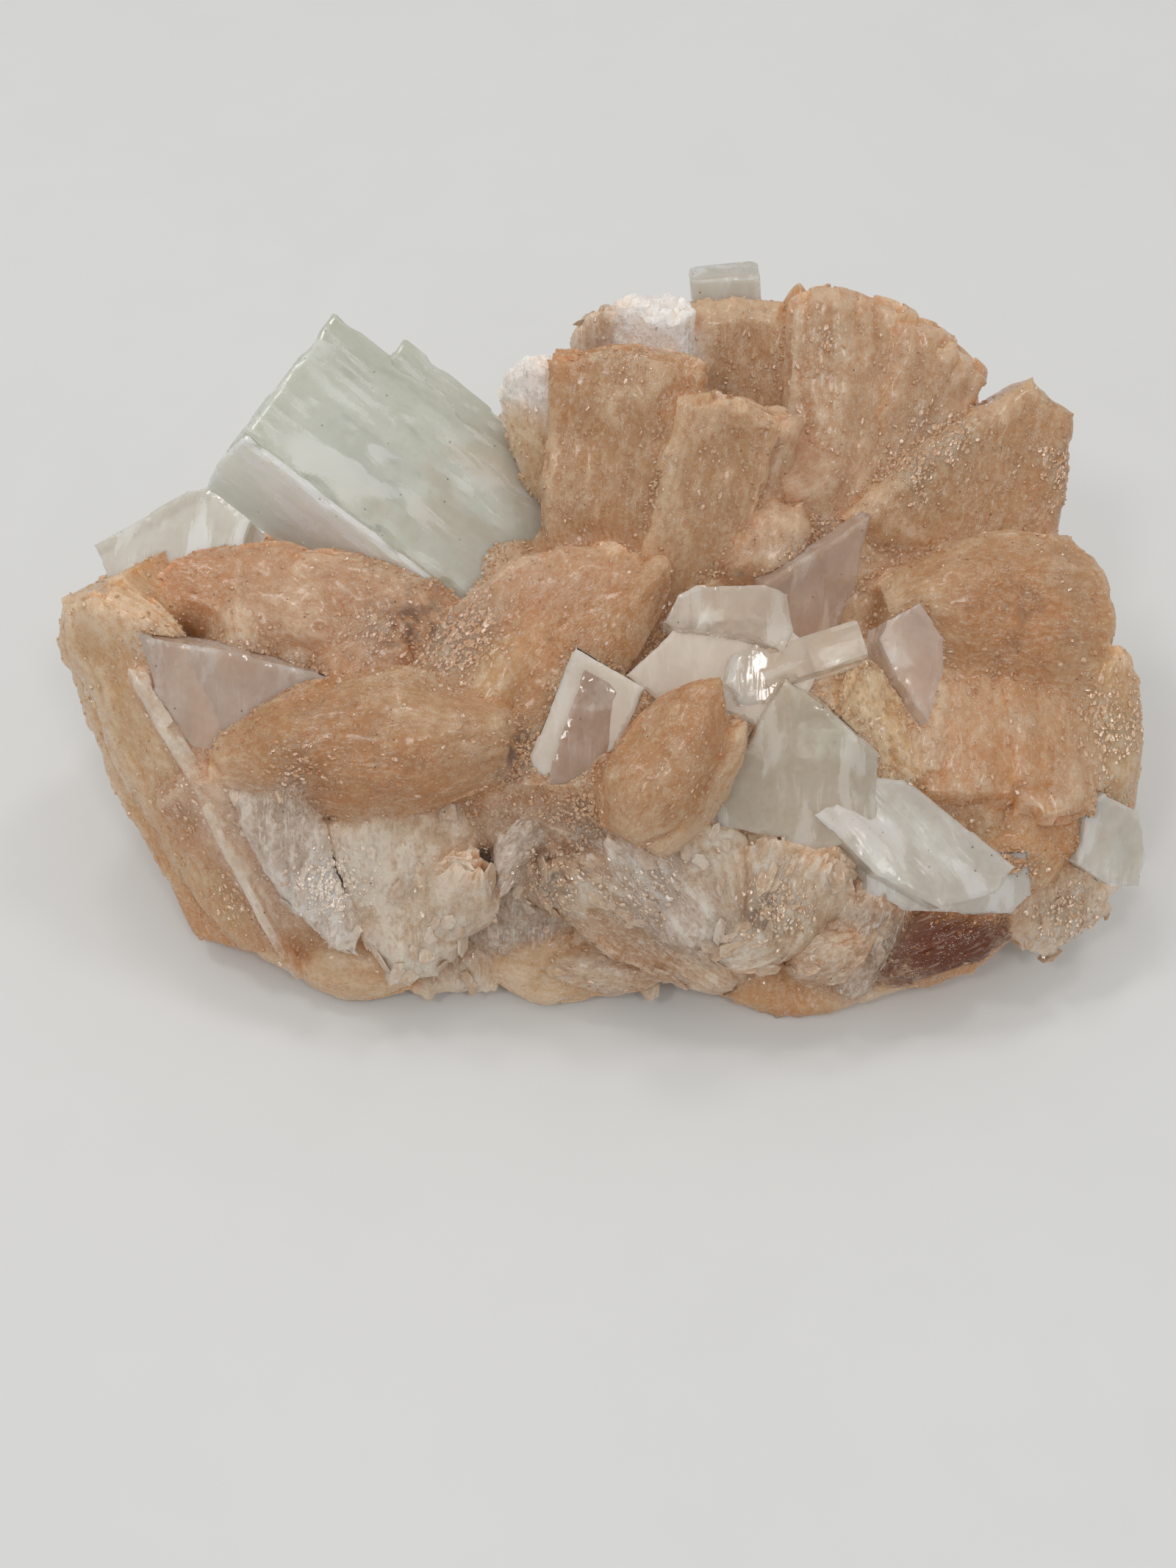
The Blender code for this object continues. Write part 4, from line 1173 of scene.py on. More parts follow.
@dataclass
class Workshop:
    """Joins and cuts closed skins, and leaves nothing in the scene but the result."""

    bench: bpy.types.Collection = field(init=False)

    def __post_init__(self) -> None:
        """Sets up the bench, a collection for pieces that are still being worked."""
        self.bench = bpy.data.collections.new("bench")
        bpy.context.scene.collection.children.link(self.bench)

    def lay_out(self, skin: Skin, number: int, shelf: bpy.types.Collection) -> bpy.types.Object:
        """Turns a skin into an object, with its grain and its number kept in the mesh.

        Args:
            skin: a closed skin in design millimetres.
            number: the number of the piece, stored on each face.
            shelf: the collection that takes the object.

        Returns:
            The object, in metres.
        """
        mesh = bpy.data.meshes.new("piece")
        mesh.from_pydata((skin.points * MM).tolist(), [], skin.faces)
        corners = np.empty(len(mesh.loops), np.int32)
        mesh.loops.foreach_get("vertex_index", corners)
        grain = mesh.attributes.new("grain", "FLOAT_VECTOR", "CORNER")
        grain.data.foreach_set("vector", skin.grain[corners].astype(np.float32).ravel())
        mark = mesh.attributes.new("piece", "INT", "FACE")
        mark.data.foreach_set("value", np.full(len(mesh.polygons), number, np.int32))
        made = bpy.data.objects.new("piece", mesh)
        shelf.objects.link(made)
        return made

    def join(
        self, skins: Sequence[Skin], cuts: Sequence[Skin] = (), one_body: bool = False
    ) -> bpy.types.Mesh:
        """Joins skins into closed bodies and takes the cuts out of them.

        Args:
            skins: the closed skins to join. A face's number is its skin's place in this list.
            cuts: closed skins to cut away afterwards.
            one_body: whether only the largest body is kept.

        Returns:
            The mesh, in triangles.
        """
        shelves = [bpy.data.collections.new(name) for name in ("joined", "cut")]
        for shelf in shelves:
            self.bench.children.link(shelf)
        base = self.lay_out(skins[0], 0, self.bench)
        for number, skin in enumerate(skins[1:], 1):
            self.lay_out(skin, number, shelves[0])
        for skin in cuts:
            self.lay_out(skin, -1, shelves[1])
        for shelf, operation in zip(shelves, ("UNION", "DIFFERENCE")):
            if not shelf.objects:
                continue
            modifier = base.modifiers.new(shelf.name, "BOOLEAN")
            modifier.operation = operation
            modifier.operand_type = "COLLECTION"
            modifier.collection = shelf
            modifier.solver = "MANIFOLD"
        bpy.context.view_layer.update()
        graph = bpy.context.evaluated_depsgraph_get()
        mesh = bpy.data.meshes.new_from_object(base.evaluated_get(graph))
        self.clear(shelves)
        form = bmesh.new()
        form.from_mesh(mesh)
        if one_body:
            keep_largest_shell(form)
        bmesh.ops.triangulate(form, faces=form.faces)
        form.to_mesh(mesh)
        form.free()
        return mesh

    def clear(self, shelves: Sequence[bpy.types.Collection]) -> None:
        """Takes every piece off the bench."""
        for shelf in (self.bench, *shelves):
            for piece in list(shelf.objects):
                mesh = piece.data
                bpy.data.objects.remove(piece)
                bpy.data.meshes.remove(mesh)
        for shelf in shelves:
            bpy.data.collections.remove(shelf)

    def close(self) -> None:
        """Puts the bench away."""
        bpy.data.collections.remove(self.bench)


def keep_largest_shell(form: bmesh.types.BMesh) -> None:
    """Drops closed pockets and loose crumbs, and keeps the one body."""
    left = set(form.verts)
    shells = []
    while left:
        shell = set()
        edge_of_shell = [left.pop()]
        while edge_of_shell:
            vertex = edge_of_shell.pop()
            shell.add(vertex)
            found = {edge.other_vert(vertex) for edge in vertex.link_edges} & left
            left -= found
            edge_of_shell.extend(found)
        shells.append(shell)
    shells.sort(key=len)
    spare = [vertex for shell in shells[:-1] for vertex in shell]
    bmesh.ops.delete(form, geom=spare, context="VERTS")


def write_values(mesh: bpy.types.Mesh, name: str, values: np.ndarray) -> None:
    """Stores one value, or one row of three, for each point of a mesh under this name."""
    kind, part = ("FLOAT_VECTOR", "vector") if values.ndim == 2 else ("FLOAT", "value")
    attribute = mesh.attributes.new(name, kind, "POINT")
    attribute.data.foreach_set(part, values.astype(np.float32).ravel())


def material_numbers(mesh: bpy.types.Mesh) -> np.ndarray:
    """The number of each face's material."""
    numbers = np.empty(len(mesh.polygons), np.int32)
    mesh.polygons.foreach_get("material_index", numbers)
    return numbers


@dataclass
class Surface:
    """A finished mesh read into arrays, in design millimetres."""

    mesh: bpy.types.Mesh
    spots: np.ndarray = field(init=False)
    edges: np.ndarray = field(init=False)
    triangles: np.ndarray = field(init=False)
    normals: np.ndarray = field(init=False)
    pieces: np.ndarray = field(init=False)
    grain: np.ndarray = field(init=False)

    def __post_init__(self) -> None:
        """Reads the arrays."""
        mesh = self.mesh
        self.spots = self.read(mesh.vertices, "co", 3) / MM
        self.normals = self.read(mesh.vertices, "normal", 3)
        self.edges = self.read(mesh.edges, "vertices", 2, np.int32)
        self.triangles = self.read(mesh.polygons, "vertices", 3, np.int32)
        self.pieces = self.read(mesh.attributes["piece"].data, "value", 1, np.int32).ravel()
        self.grain = self.read(mesh.attributes["grain"].data, "vector", 3).reshape(-1, 3, 3)

    @staticmethod
    def read(rows: Iterable, name: str, width: int, kind: type = np.float32) -> np.ndarray:
        """One array of a mesh's values.

        Args:
            rows: the mesh's vertices, edges, faces or attribute data.
            name: the value's name.
            width: how many numbers each row has.
            kind: the type that the mesh keeps them in.

        Returns:
            One row for each item.
        """
        values = np.empty(len(rows) * width, kind)
        rows.foreach_get(name, values)
        values = values.reshape(-1, width)
        return values.astype(float) if kind is np.float32 else values

    def spread(self, values: np.ndarray, rounds: int) -> np.ndarray:
        """The points' rows of values after each has run this many times into its neighbours'."""
        first, second = self.edges.T
        count = np.bincount(self.edges.ravel(), minlength=len(values))[:, None]
        for _ in range(rounds):
            total = [
                np.bincount(first, values[second, column], len(values))
                + np.bincount(second, values[first, column], len(values))
                for column in range(values.shape[1])
            ]
            values = (values + np.stack(total, 1) / count) / 2
        return values

    def standing(self, rounds: int) -> np.ndarray:
        """How far each point stands over its relaxed surroundings, in design millimetres."""
        return ((self.spots - self.spread(self.spots, rounds)) * self.normals).sum(axis=1)

    def write(self, name: str, values: np.ndarray) -> None:
        """Stores one value, or one row of three, for each point of the mesh under this name."""
        write_values(self.mesh, name, values)


@dataclass(frozen=True)
class Stain:
    """A soft round stretch where the stilbite's colour changes. Sizes in design millimetres.

    warmth is positive towards the deep colour and negative towards the pale one, and the last
    value is how much brown film lies there: dirt in some stretches, painted shade in recesses in
    others. A few stains paint shade, and one paints light, outright.
    """

    centre: Point
    radius: float
    warmth: float = 0.0
    soil: float = 0.0


STAINS = (
    Stain((-13.8, -5.8, 23.4), 3.2, 0.8, 0.9),
    Stain((17.8, -9.3, 22.0), 1.6, 0.0, 1.2),
    Stain((31.6, -6.5, 24.0), 4.6, 1.4),
    Stain((-13.5, -19.0, 21.0), 4.5, 0.7, 0.15),
    Stain((-6.1, -15.8, 20.5), 2.6, 0.3, 0.8),
    # The hollow at the front right, darkened to near black-brown: painted shade
    Stain((26.8, -23.6, 8.4), 5.0, 4.5),
    # Brown film on the front plates below the centre: painted shade
    Stain((-3.9, -22.6, 15.0), 2.8, 0.3, 1.0),
    Stain((-17.3, -21.2, 15.1), 3.5, -1.0),
    Stain((-20.6, -22.8, 12.7), 2.6, -1.1),
    Stain((-28.3, -16.9, 18.4), 2.5, -0.9),
    Stain((-25.5, -21.0, 11.0), 2.2, -0.7),
    Stain((5.0, -25.9, 9.2), 4.0, 0.8),
    Stain((-34.7, -14.5, 15.4), 4.5, -0.3),
    Stain((-28.0, -3.0, 25.5), 4.5, 0.1),
    Stain((32.0, -6.6, 25.0), 4.0, 0.2, 0.3),
    Stain((31.0, -16.0, 16.0), 6.0, 0.7),
    Stain((6.5, -17.0, 23.0), 6.0, 0.9),
    Stain((-5.5, -9.0, 25.2), 5.0, 1.0, 0.12),
    Stain((-5.0, -24.0, 8.0), 3.0, 0.3, 0.3),
    # Paler in the recess between the large crystal and the flat top: painted light
    Stain((-4.5, 8.5, 28.5), 4.5, -0.5),
    Stain((-30.5, -20.5, 3.0), 7.5, 1.1),
    Stain((-34.0, -16.5, 12.0), 4.0, 0.6),
    Stain((-36.0, -13.0, 24.0), 4.0, 0.5),
    Stain((-20.0, -15.0, 22.5), 7.0, 0.7, 0.2),
    Stain((-31.5, -4.5, 25.5), 4.0, 0.5),
    Stain((-19.0, -4.0, 26.0), 3.0, 0.35, 0.05),
    Stain((-24.0, -4.5, 26.0), 3.0, -0.5),
    Stain((-19.0, -13.5, 24.5), 5.0, -0.05),
    Stain((-18.0, -17.5, 19.5), 7.0, 0.3),
    Stain((0.0, -3.0, 28.0), 4.0, 0.4),
    Stain((37.5, -18.0, 12.0), 3.5, 0.9),
    Stain((11.0, -3.5, 26.0), 2.5, 0.4, 0.6),
    Stain((15.5, 1.5, 26.0), 2.0, 0.3, 0.9),
    Stain((-10.0, -24.0, 9.0), 4.0, -0.3),
    Stain((-5.0, -22.0, 9.0), 4.0, 0.1, 0.1),
    Stain((-14.5, -23.5, 16.5), 5.0, -0.7),
    Stain((13.0, -24.0, 11.5), 2.4, 0.3, 0.7),
    Stain((3.0, -25.5, 2.0), 6.0, 0.4),
    Stain((15.0, -26.5, 2.5), 7.0, 1.1),
)


@dataclass(frozen=True)
class Patch:
    """A round stretch of the stilbite that has another look. Sizes in design millimetres."""

    centre: Point
    radius: float
    look: Look


PATCHES = (
    Patch((-5.3, 8.8, 29.5), 3.0, PEACH),
    Patch((-4.0, 8.0, 26.5), 3.0, PEACH),
    Patch((-20.5, -22.6, 12.7), 2.0, SILVER),
    Patch((-22.8, -23.8, 5.5), 2.2, TAN),
)


@dataclass(frozen=True)
class Growth:
    """A stretch of the stilbite: its blades and plates, in the order in which they grew."""

    pieces: tuple[Blade | Plate, ...] = ()
    spacing: float = FRONT_SPACING

    def skins(self, first_number: int) -> list[Skin]:
        """The worked skin of each piece, placed in the cluster.

        Args:
            first_number: the number of the first piece in the whole growth.

        Returns:
            One closed skin for each piece.
        """
        skins = []
        for number, piece in enumerate(self.pieces, first_number):
            relief = STILBITE_FINISHES[piece.look].relief
            if isinstance(piece, Plate):
                place = crystal_frame(piece.centre, piece.face, piece.up)
                skins.append(plate_skin(piece, relief, self.spacing, number).placed(place))
            else:
                skins.append(blade_skin(piece, relief, self.spacing, number).placed(blade_frame(piece)))
        return skins


@dataclass(frozen=True)
class RearSlabs(Growth):
    """The slabs, the ribbed fan and the pearly crest along the rear."""

    pieces: tuple[Blade | Plate, ...] = (
        Blade("flat_top", TAN, SLAB, (1.4, 2, 25), (2.6, 10.3, 36.6), (-0.1, -0.8, 0.6), 12.0, 6.0),
        Blade("step", TAN, SLAB, (7, 0, 24.5), (10.0, 7.2, 34.8), (0.15, -0.75, 0.65), 8.5, 5.5),
        Blade("finger", PINK, SLAB, (12.2, 4.0, 26), (14.6, 7.2, 33), (0.2, -0.8, 0.5), 3.2, 4.0),
        Blade("between", TAN, LENS, (-3.0, -1, 22.0), (1.4, 5.5, 27.0), (-0.1, -0.65, 0.75), 7.0, 6.0),
        Plate(
            "broad_rear", TAN, (12.5, 13.5, 33.0), (0.05, -0.75, 0.65), (0.05, 0.6, 0.75),
            ((-6.5, 1.5), (-5.5, 4), (-2, 5), (2, 4.5), (6, 1.5), (4.5, -6), (1, -8), (-5, -6)),
            6.5, 1.2, 0.9,
        ),
        Blade("rib_1", FLUTED, SLAB, (18, 6, 23.5), (18.6, 18.0, 35.8), (0, -0.75, 0.65), 7.4, 6.6),
        Blade("rib_2", FLUTED, SLAB, (19.5, 7, 24), (22.0, 18.1, 35.0), (0.1, -0.75, 0.65), 7.4, 6.2),
        Blade("rib_3", FLUTED, SLAB, (21.5, 8, 24), (25.2, 17.0, 34.0), (0.15, -0.75, 0.65), 7.4, 5.8),
        Blade("rib_4", FLUTED, SLAB, (23, 8, 23.5), (28.3, 15.9, 32.1), (0.2, -0.75, 0.65), 7.4, 5.4),
        Blade("rib_foot", PINK, LENS, (14.5, 5, 27), (19.5, 7.5, 27), (0, -0.7, 0.7), 7.0, 6.0, 1.0),
        Plate(
            "amber_side", PEACH, (-4.2, 9.4, 27.6), (-0.5, -0.55, 0.65), (-0.3, 0.7, 0.7),
            ((-3, 5), (-0.5, 4.5), (2.5, 4), (5, 0), (5, -4), (3, -7.5), (1.5, -7), (-0.5, -3.5), (-3.5, 2.5)),
            5.0, 0.8, 0.6,
        ),
        Blade("pearl_right", PEARL, SLAB, (4, 12.5, 30), (4.5, 14.8, 37.5), (-0.15, -0.65, 0.8), 6.5, 4.5),
        Blade("pearl_left", PEARL, FAN, (-3.4, 8.5, 27), (-5.2, 12.2, 34), (-0.3, -0.75, 0.6), 6.5, 5.0),
        Blade("crest_pale", PALE, FAN, (2.3, 13, 29), (0.8, 15.4, 36), (-0.2, -0.8, 0.5), 6.5, 4.5),
        Blade("crest_tip", TAN, SHIELD, (16.3, 17, 29), (15.8, 17.9, 36), (0, -0.8, 0.5), 4.5, 4.0),
        Plate(
            "pink_knob", PINK, (13.5, -0.6, 27.9), (0.0, -0.6, 0.8), (0.1, 0.8, 0.5),
            ((-4, -1), (-2.5, 1.5), (-0.5, 3.5), (2, 3), (3.5, 1), (3, -1.5), (0.5, -4.5), (-3, -4)),
            6.0, 1.3, 1.3,
        ),
    )


@dataclass(frozen=True)
class RightSheaves(Growth):
    """The shield, the shoulder over its row of columns, and the right edge."""

    pieces: tuple[Blade | Plate, ...] = (
        Plate(
            "shield", TAN, (29.5, 6.5, 28.0), (0.2, -0.62, 0.75), (0.4, 0.6, 0.6),
            ((-8, -8), (-5, -1), (-1.5, 4.5), (2, 9), (3.5, 8.5), (6.5, 8), (8, 3), (9.5, -2.5), (4, -8)),
            5.5, 1.0, 0.8,
        ),
        Blade("shoulder", TAN, FAN, (23.5, -4.2, 22.2), (39.6, -3.6, 20.8), (0.1, -0.5, 0.86), 14.2, 11.0, 1.5),
        Blade("column_1", FLUTED, SLAB, (25.4, -9.0, 18.8), (24.6, -15.4, 16.2), (-0.1, -0.6, 0.8), 6.4, 7.2, 2.0),
        Blade("column_2", FLUTED, SLAB, (28.4, -9.0, 18.8), (27.9, -17.0, 15.4), (0, -0.6, 0.8), 7.4, 7.6, 2.0),
        Blade("column_3", FLUTED, SLAB, (31.2, -9.0, 18.2), (31.3, -16.2, 15.2), (0.05, -0.6, 0.8), 7.4, 7.9, 2.0),
        Blade("column_4", FLUTED, SLAB, (34.2, -9.0, 17.6), (34.9, -17.6, 13.8), (0.15, -0.6, 0.8), 7.0, 7.4, 2.0),
        Blade("column_5", FLUTED, SLAB, (36.6, -9.0, 16.8), (37.4, -15.2, 13.6), (0.3, -0.6, 0.75), 5.6, 7.0, 2.0),
        Blade("column_foot_1", PINK, LENS, (22, -17.6, 12.5), (29, -18.4, 13.5), (0, -0.65, 0.75), 7.0, 7.0, 0.0),
        Blade("column_foot_2", PEACH, LENS, (29, -18.6, 11.5), (37, -17.8, 11.5), (0.1, -0.65, 0.75), 7.5, 7.0, 0.0),
        Blade("nub_1", PINK, LENS, (25.6, -14.0, 15.4), (25.4, -18.2, 14.6), (0, -0.65, 0.75), 3.8, 5.0, 1.0),
        Blade("nub_2", PEACH, LENS, (29.0, -14.4, 15.2), (29.2, -18.8, 14.0), (0, -0.65, 0.75), 3.4, 5.0, 1.0),
        Blade("nub_3", PEACH, LENS, (32.6, -14.8, 14.4), (32.8, -19.4, 12.8), (0, -0.65, 0.75), 3.8, 5.0, 1.0),
        Blade("nub_4", PEACH, LENS, (36.4, -14.8, 13.4), (36.8, -19.0, 11.6), (0.1, -0.65, 0.75), 3.6, 5.0, 1.0),
        Blade("right_edge", PEACH, LENS, (38.8, -16.5, 10), (39.9, -6.5, 21.5), (0.45, -0.55, 0.7), 7.5, 5.5),
        Blade("small_sheaf", AMBER, SHIELD, (22.8, -15.4, 16), (20.0, -8.6, 22.5), (0.1, -0.5, 0.85), 7.5, 6.0),
    )


@dataclass(frozen=True)
class CentreSheaves(Growth):
    """The broad sheaves and bands across the middle."""

    pieces: tuple[Blade | Plate, ...] = (
        Blade("front_leaf", TAN, SHIELD, (4.6, -20.6, 17.2), (10.8, -14.6, 22.8), (0.35, -0.55, 0.8), 5.4, 7.0, 1.5),
        Blade("front_sheaf", TAN, SHIELD, (2.6, -21.0, 19.4), (8.8, -12.8, 25.4), (0.1, -0.55, 0.83), 7.4, 7.4, 1.5),
        Plate(
            "centre_bands", PINK, (-3.0, -7.5, 25.5), (0, -0.5, 0.86), (0.6, 0.7, 0.3),
            (
                (-5.5, -9), (-5, -4), (-5, 1), (-4.5, 4.5), (0, 8.5), (4.5, 8.5), (5.5, 5), (6, 1.5),
                (4.5, -6), (-1, -8.5),
            ),
            9.0, 1.8, 1.3,
        ),
        Blade("band_1", PINK, LENS, (-12, -10.7, 20.3), (-3.8, -1.3, 25.9), (-0.2, -0.45, 0.84), 7.0, 7.0),
        Blade("band_2", PEACH, LENS, (-7.8, -10.6, 21.7), (1.6, -0.9, 26.8), (-0.1, -0.5, 0.86), 6.4, 5.2),
        Blade("band_3", TAN, LENS, (-3.2, -10.4, 22.0), (5.2, -2.1, 26.5), (0.05, -0.5, 0.86), 6.4, 5.2),
        Blade("wide_sheaf", TAN, LENS, (-8.5, -14.2, 20.2), (-29.0, -14.3, 18.2), (-0.1, -0.6, 0.8), 11.4, 10.0, 2.0),
        Blade("wide_foot", TAN, LENS, (-10, -15.5, 14.5), (-27.5, -14.8, 13.5), (-0.1, -0.75, 0.65), 10.0, 8.0, 2.0),
        Blade("pink_1", PINK, LENS, (-20.5, -4.0, 20.6), (-33.5, -1.4, 23.6), (-0.1, -0.6, 0.8), 10.5, 10.0),
        Blade("pink_2", PINK, LENS, (-12.6, -4.3, 20.6), (-24, -1.4, 24.2), (0.05, -0.65, 0.75), 9.5, 9.0),
        Blade("lobe_2", PINK, LENS, (-27.0, -8.3, 20.6), (-27.8, -0.2, 25.0), (-0.1, -0.6, 0.8), 6.0, 5.6, 0.5),
        Blade("lobe_3", PINK, LENS, (-22.6, -8.3, 20.3), (-23.0, -0.2, 24.6), (-0.1, -0.6, 0.8), 6.0, 5.6, 0.5),
        Blade("lobe_4", PEACH, LENS, (-18.4, -8.3, 20.0), (-18.7, -0.2, 23.6), (-0.1, -0.6, 0.8), 5.4, 5.6, 0.5),
        Blade("pink_foot", PINK, FAN, (-20.0, -9.6, 19.4), (-15.8, -5.0, 23.6), (-0.1, -0.5, 0.85), 7.5, 6.0),
    )


@dataclass(frozen=True)
class LeftWall(Growth):
    """The tall wall at the left with its crown."""

    pieces: tuple[Blade | Plate, ...] = (
        Plate(
            "left_wall", PEACH, (-35.5, -14.0, 12.0), (-0.38, -0.8, 0.46), (-0.4, 0.4, 0.8),
            (
                (-3, 14), (-1, 17), (6, 17.5), (8, 14), (5.5, 8), (6, 2), (6.5, -3.5), (8, -11), (7.5, -18.5),
                (2.5, -14.5), (-1.5, -13), (-2.5, -5), (-3.5, 1.5),
            ),
            8.0, 0.9, 0.7,
        ),
        Blade("left_crown", PEACH, FAN, (-27.5, -21.0, 4.0), (-37.4, -5.2, 26.6), (-0.45, -0.7, 0.55), 10.0, 7.0, 1.0),
        Blade("ridge", RIDGE, SLAB, (-28.2, -17.9, 14.6), (-34.4, -10.6, 24.4), (-0.2, -0.85, 0.5), 1.3, 3.2, 0.0),
        Blade("left_inner", PINK, SLAB, (-22.0, -21.6, 3.4), (-30.6, -14.4, 17.6), (-0.1, -0.85, 0.5), 9.0, 6.0, 0.0),
    )


@dataclass(frozen=True)
class BrokenFront(Growth):
    """The broken, fibrous front with its shells and splinters."""

    pieces: tuple[Blade | Plate, ...] = (
        Plate(
            "grey_patch", SILVER, (-23.3, -22.3, 12.9), (-0.15, -0.85, 0.5), (0, 0.4, 0.9),
            ((-5, 7), (1, 8.6), (2.8, 5.4), (3.4, 1.5), (5.6, -4), (5, -6.4), (2.6, -6), (-1, -2.5), (-4.5, 4)),
            7.0, 1.0, 0.8,
        ),
        Plate(
            "broken_shell", PALE, (-15.2, -22.3, 12.6), (0.05, -0.8, 0.6), (0, 0.5, 0.85),
            (
                (-5.5, 5), (-3, 6.5), (2, 8), (5, 7.5), (6.8, 4), (6.4, -1.5), (5, -6), (3, -8.4), (-1, -8.8),
                (-3, -5), (-4.2, -0.5),
            ),
            8.0, 1.4, 1.0,
        ),
        Plate(
            "broken_foot", PALE, (-10.0, -25.0, 3.5), (0.0, -0.8, 0.6), (0, 0.6, 0.8),
            ((-5.5, -1.5), (-3, -2.5), (3.5, -1.5), (4.5, 0), (3.5, 2), (0, 3), (-3, 2)),
            6.0, 0.8, 0.5,
        ),
        Plate(
            "broken_grey", SILVER, (-5.0, -22.0, 9.0), (0.05, -0.85, 0.5), (0, 0.5, 0.85),
            ((-4, 7), (1, 8), (4.5, 6), (5, 0), (2.5, -5), (-1, -6.5), (-5, -4), (-5.5, 2)),
            8.0, 1.5, 1.2,
        ),
        Plate(
            "broken_middle", PALE, (4.0, -21.0, 11.0), (0.0, -0.75, 0.65), (0, 0.65, 0.75),
            (
                (-4.5, 5), (0, 7), (4, 6), (8, 1), (8, -3), (5, -6.5), (0.5, -8), (-3, -7.5), (-6, -5.5), (-6, 0),
            ),
            9.0, 1.6, 1.2,
        ),
        Plate(
            "front_rim", PEACH, (14.5, -26.0, 3.5), (0.0, -0.8, 0.6), (0, 0.6, 0.8),
            (
                (-9, 3), (-7.5, 1), (-4.5, -1.5), (0, -3.5), (4, -3), (8.5, -1.5), (15.5, 0.5), (17, 3), (8, 5),
                (0, 5.5),
            ),
            8.0, 1.2, 0.9,
        ),
        Blade("shard_1", SILVER, SHIELD, (-3.5, -18.2, 15.0), (-7.2, -21.8, 12.2), (0.1, -0.8, 0.6), 6.5, 4.5, 2.0),
        Blade("spray_1", PALE, FAN, (10.0, -25.0, 4.6), (-2.4, -21.6, 14.2), (-0.1, -0.8, 0.6), 7.5, 5.5, 1.0),
        Blade("spray_2", SILVER, FAN, (10.4, -25.0, 4.6), (1.4, -19.6, 17.0), (0.0, -0.75, 0.65), 7.5, 6.0, 1.0),
        Blade("spray_3", PALE, FAN, (11.0, -25.0, 4.6), (7.0, -19.0, 17.0), (0.1, -0.75, 0.65), 7.0, 6.0, 1.0),
        Blade("spray_4", PALE, FAN, (13.8, -24.4, 8.2), (15.8, -19.6, 15.6), (0.1, -0.75, 0.65), 8.0, 6.0, 1.0),
        Blade("spray_5", SILVER, FAN, (20.0, -25.6, 3.4), (22.0, -21.6, 11.4), (0.1, -0.75, 0.65), 6.0, 6.0, 1.0),
        Blade("shard_2", PALE, SHIELD, (-2.0, -23.5, 3.5), (5.5, -25.2, 4.6), (0.0, -0.8, 0.6), 5.0, 5.0, 2.0),
        Blade("shell_1", PALE, LENS, (9.0, -25.2, 7.6), (15.6, -24.6, 10.2), (-0.1, -0.8, 0.6), 5.0, 5.0, 0.0),
        Blade("shell_2", PALE, LENS, (14.8, -25.8, 6.4), (20.6, -25.2, 9.0), (0.1, -0.8, 0.6), 5.0, 5.0, 0.0),
        Blade("amber_ridge", AMBER, SLAB, (21.5, -23.8, 4), (31.5, -21.6, 8.6), (0.1, -0.7, 0.7), 6.0, 7.0, 0.0),
        Plate(
            "right_fan", PALE, (36.0, -22.0, 8.0), (0.2, -0.75, 0.62), (0.2, 0.6, 0.75),
            ((-6, -0.5), (-3, 3), (2, 5), (6, 3), (5, 0), (3.5, -2), (1, -4), (-1.5, -4), (-5, -2.5)),
            7.5, 1.2, 0.9,
        ),
        Blade("foot_1", PEACH, LENS, (-8.5, -22.4, 3.0), (2.5, -23.6, 2.6), (0, -0.8, 0.6), 7.0, 7.0, 0.0),
        Blade("foot_2", PALE, LENS, (-1.5, -20.8, 7.6), (-3.5, -21.2, 15.6), (0, -0.8, 0.6), 7.0, 6.0, 0.0),
        Blade("foot_3", PEACH, LENS, (-23.6, -22.6, 2.4), (-14.5, -24.4, 3.2), (0, -0.8, 0.6), 6.0, 6.0, 0.0),
        Blade("foot_4", PALE, LENS, (-12.0, -22.6, 6.6), (-9.5, -21.6, 15.0), (0, -0.8, 0.6), 6.4, 5.6, 0.0),
        Blade("foot_5", PALE, LENS, (14.0, -22.4, 6.0), (17.6, -21.0, 14.8), (0, -0.8, 0.6), 8.0, 6.0, 0.0),
        Blade("foot_6", PEACH, LENS, (22.0, -24.4, 2.6), (34.0, -20.6, 5.6), (0.1, -0.8, 0.6), 5.0, 6.0, 0.0),
    )


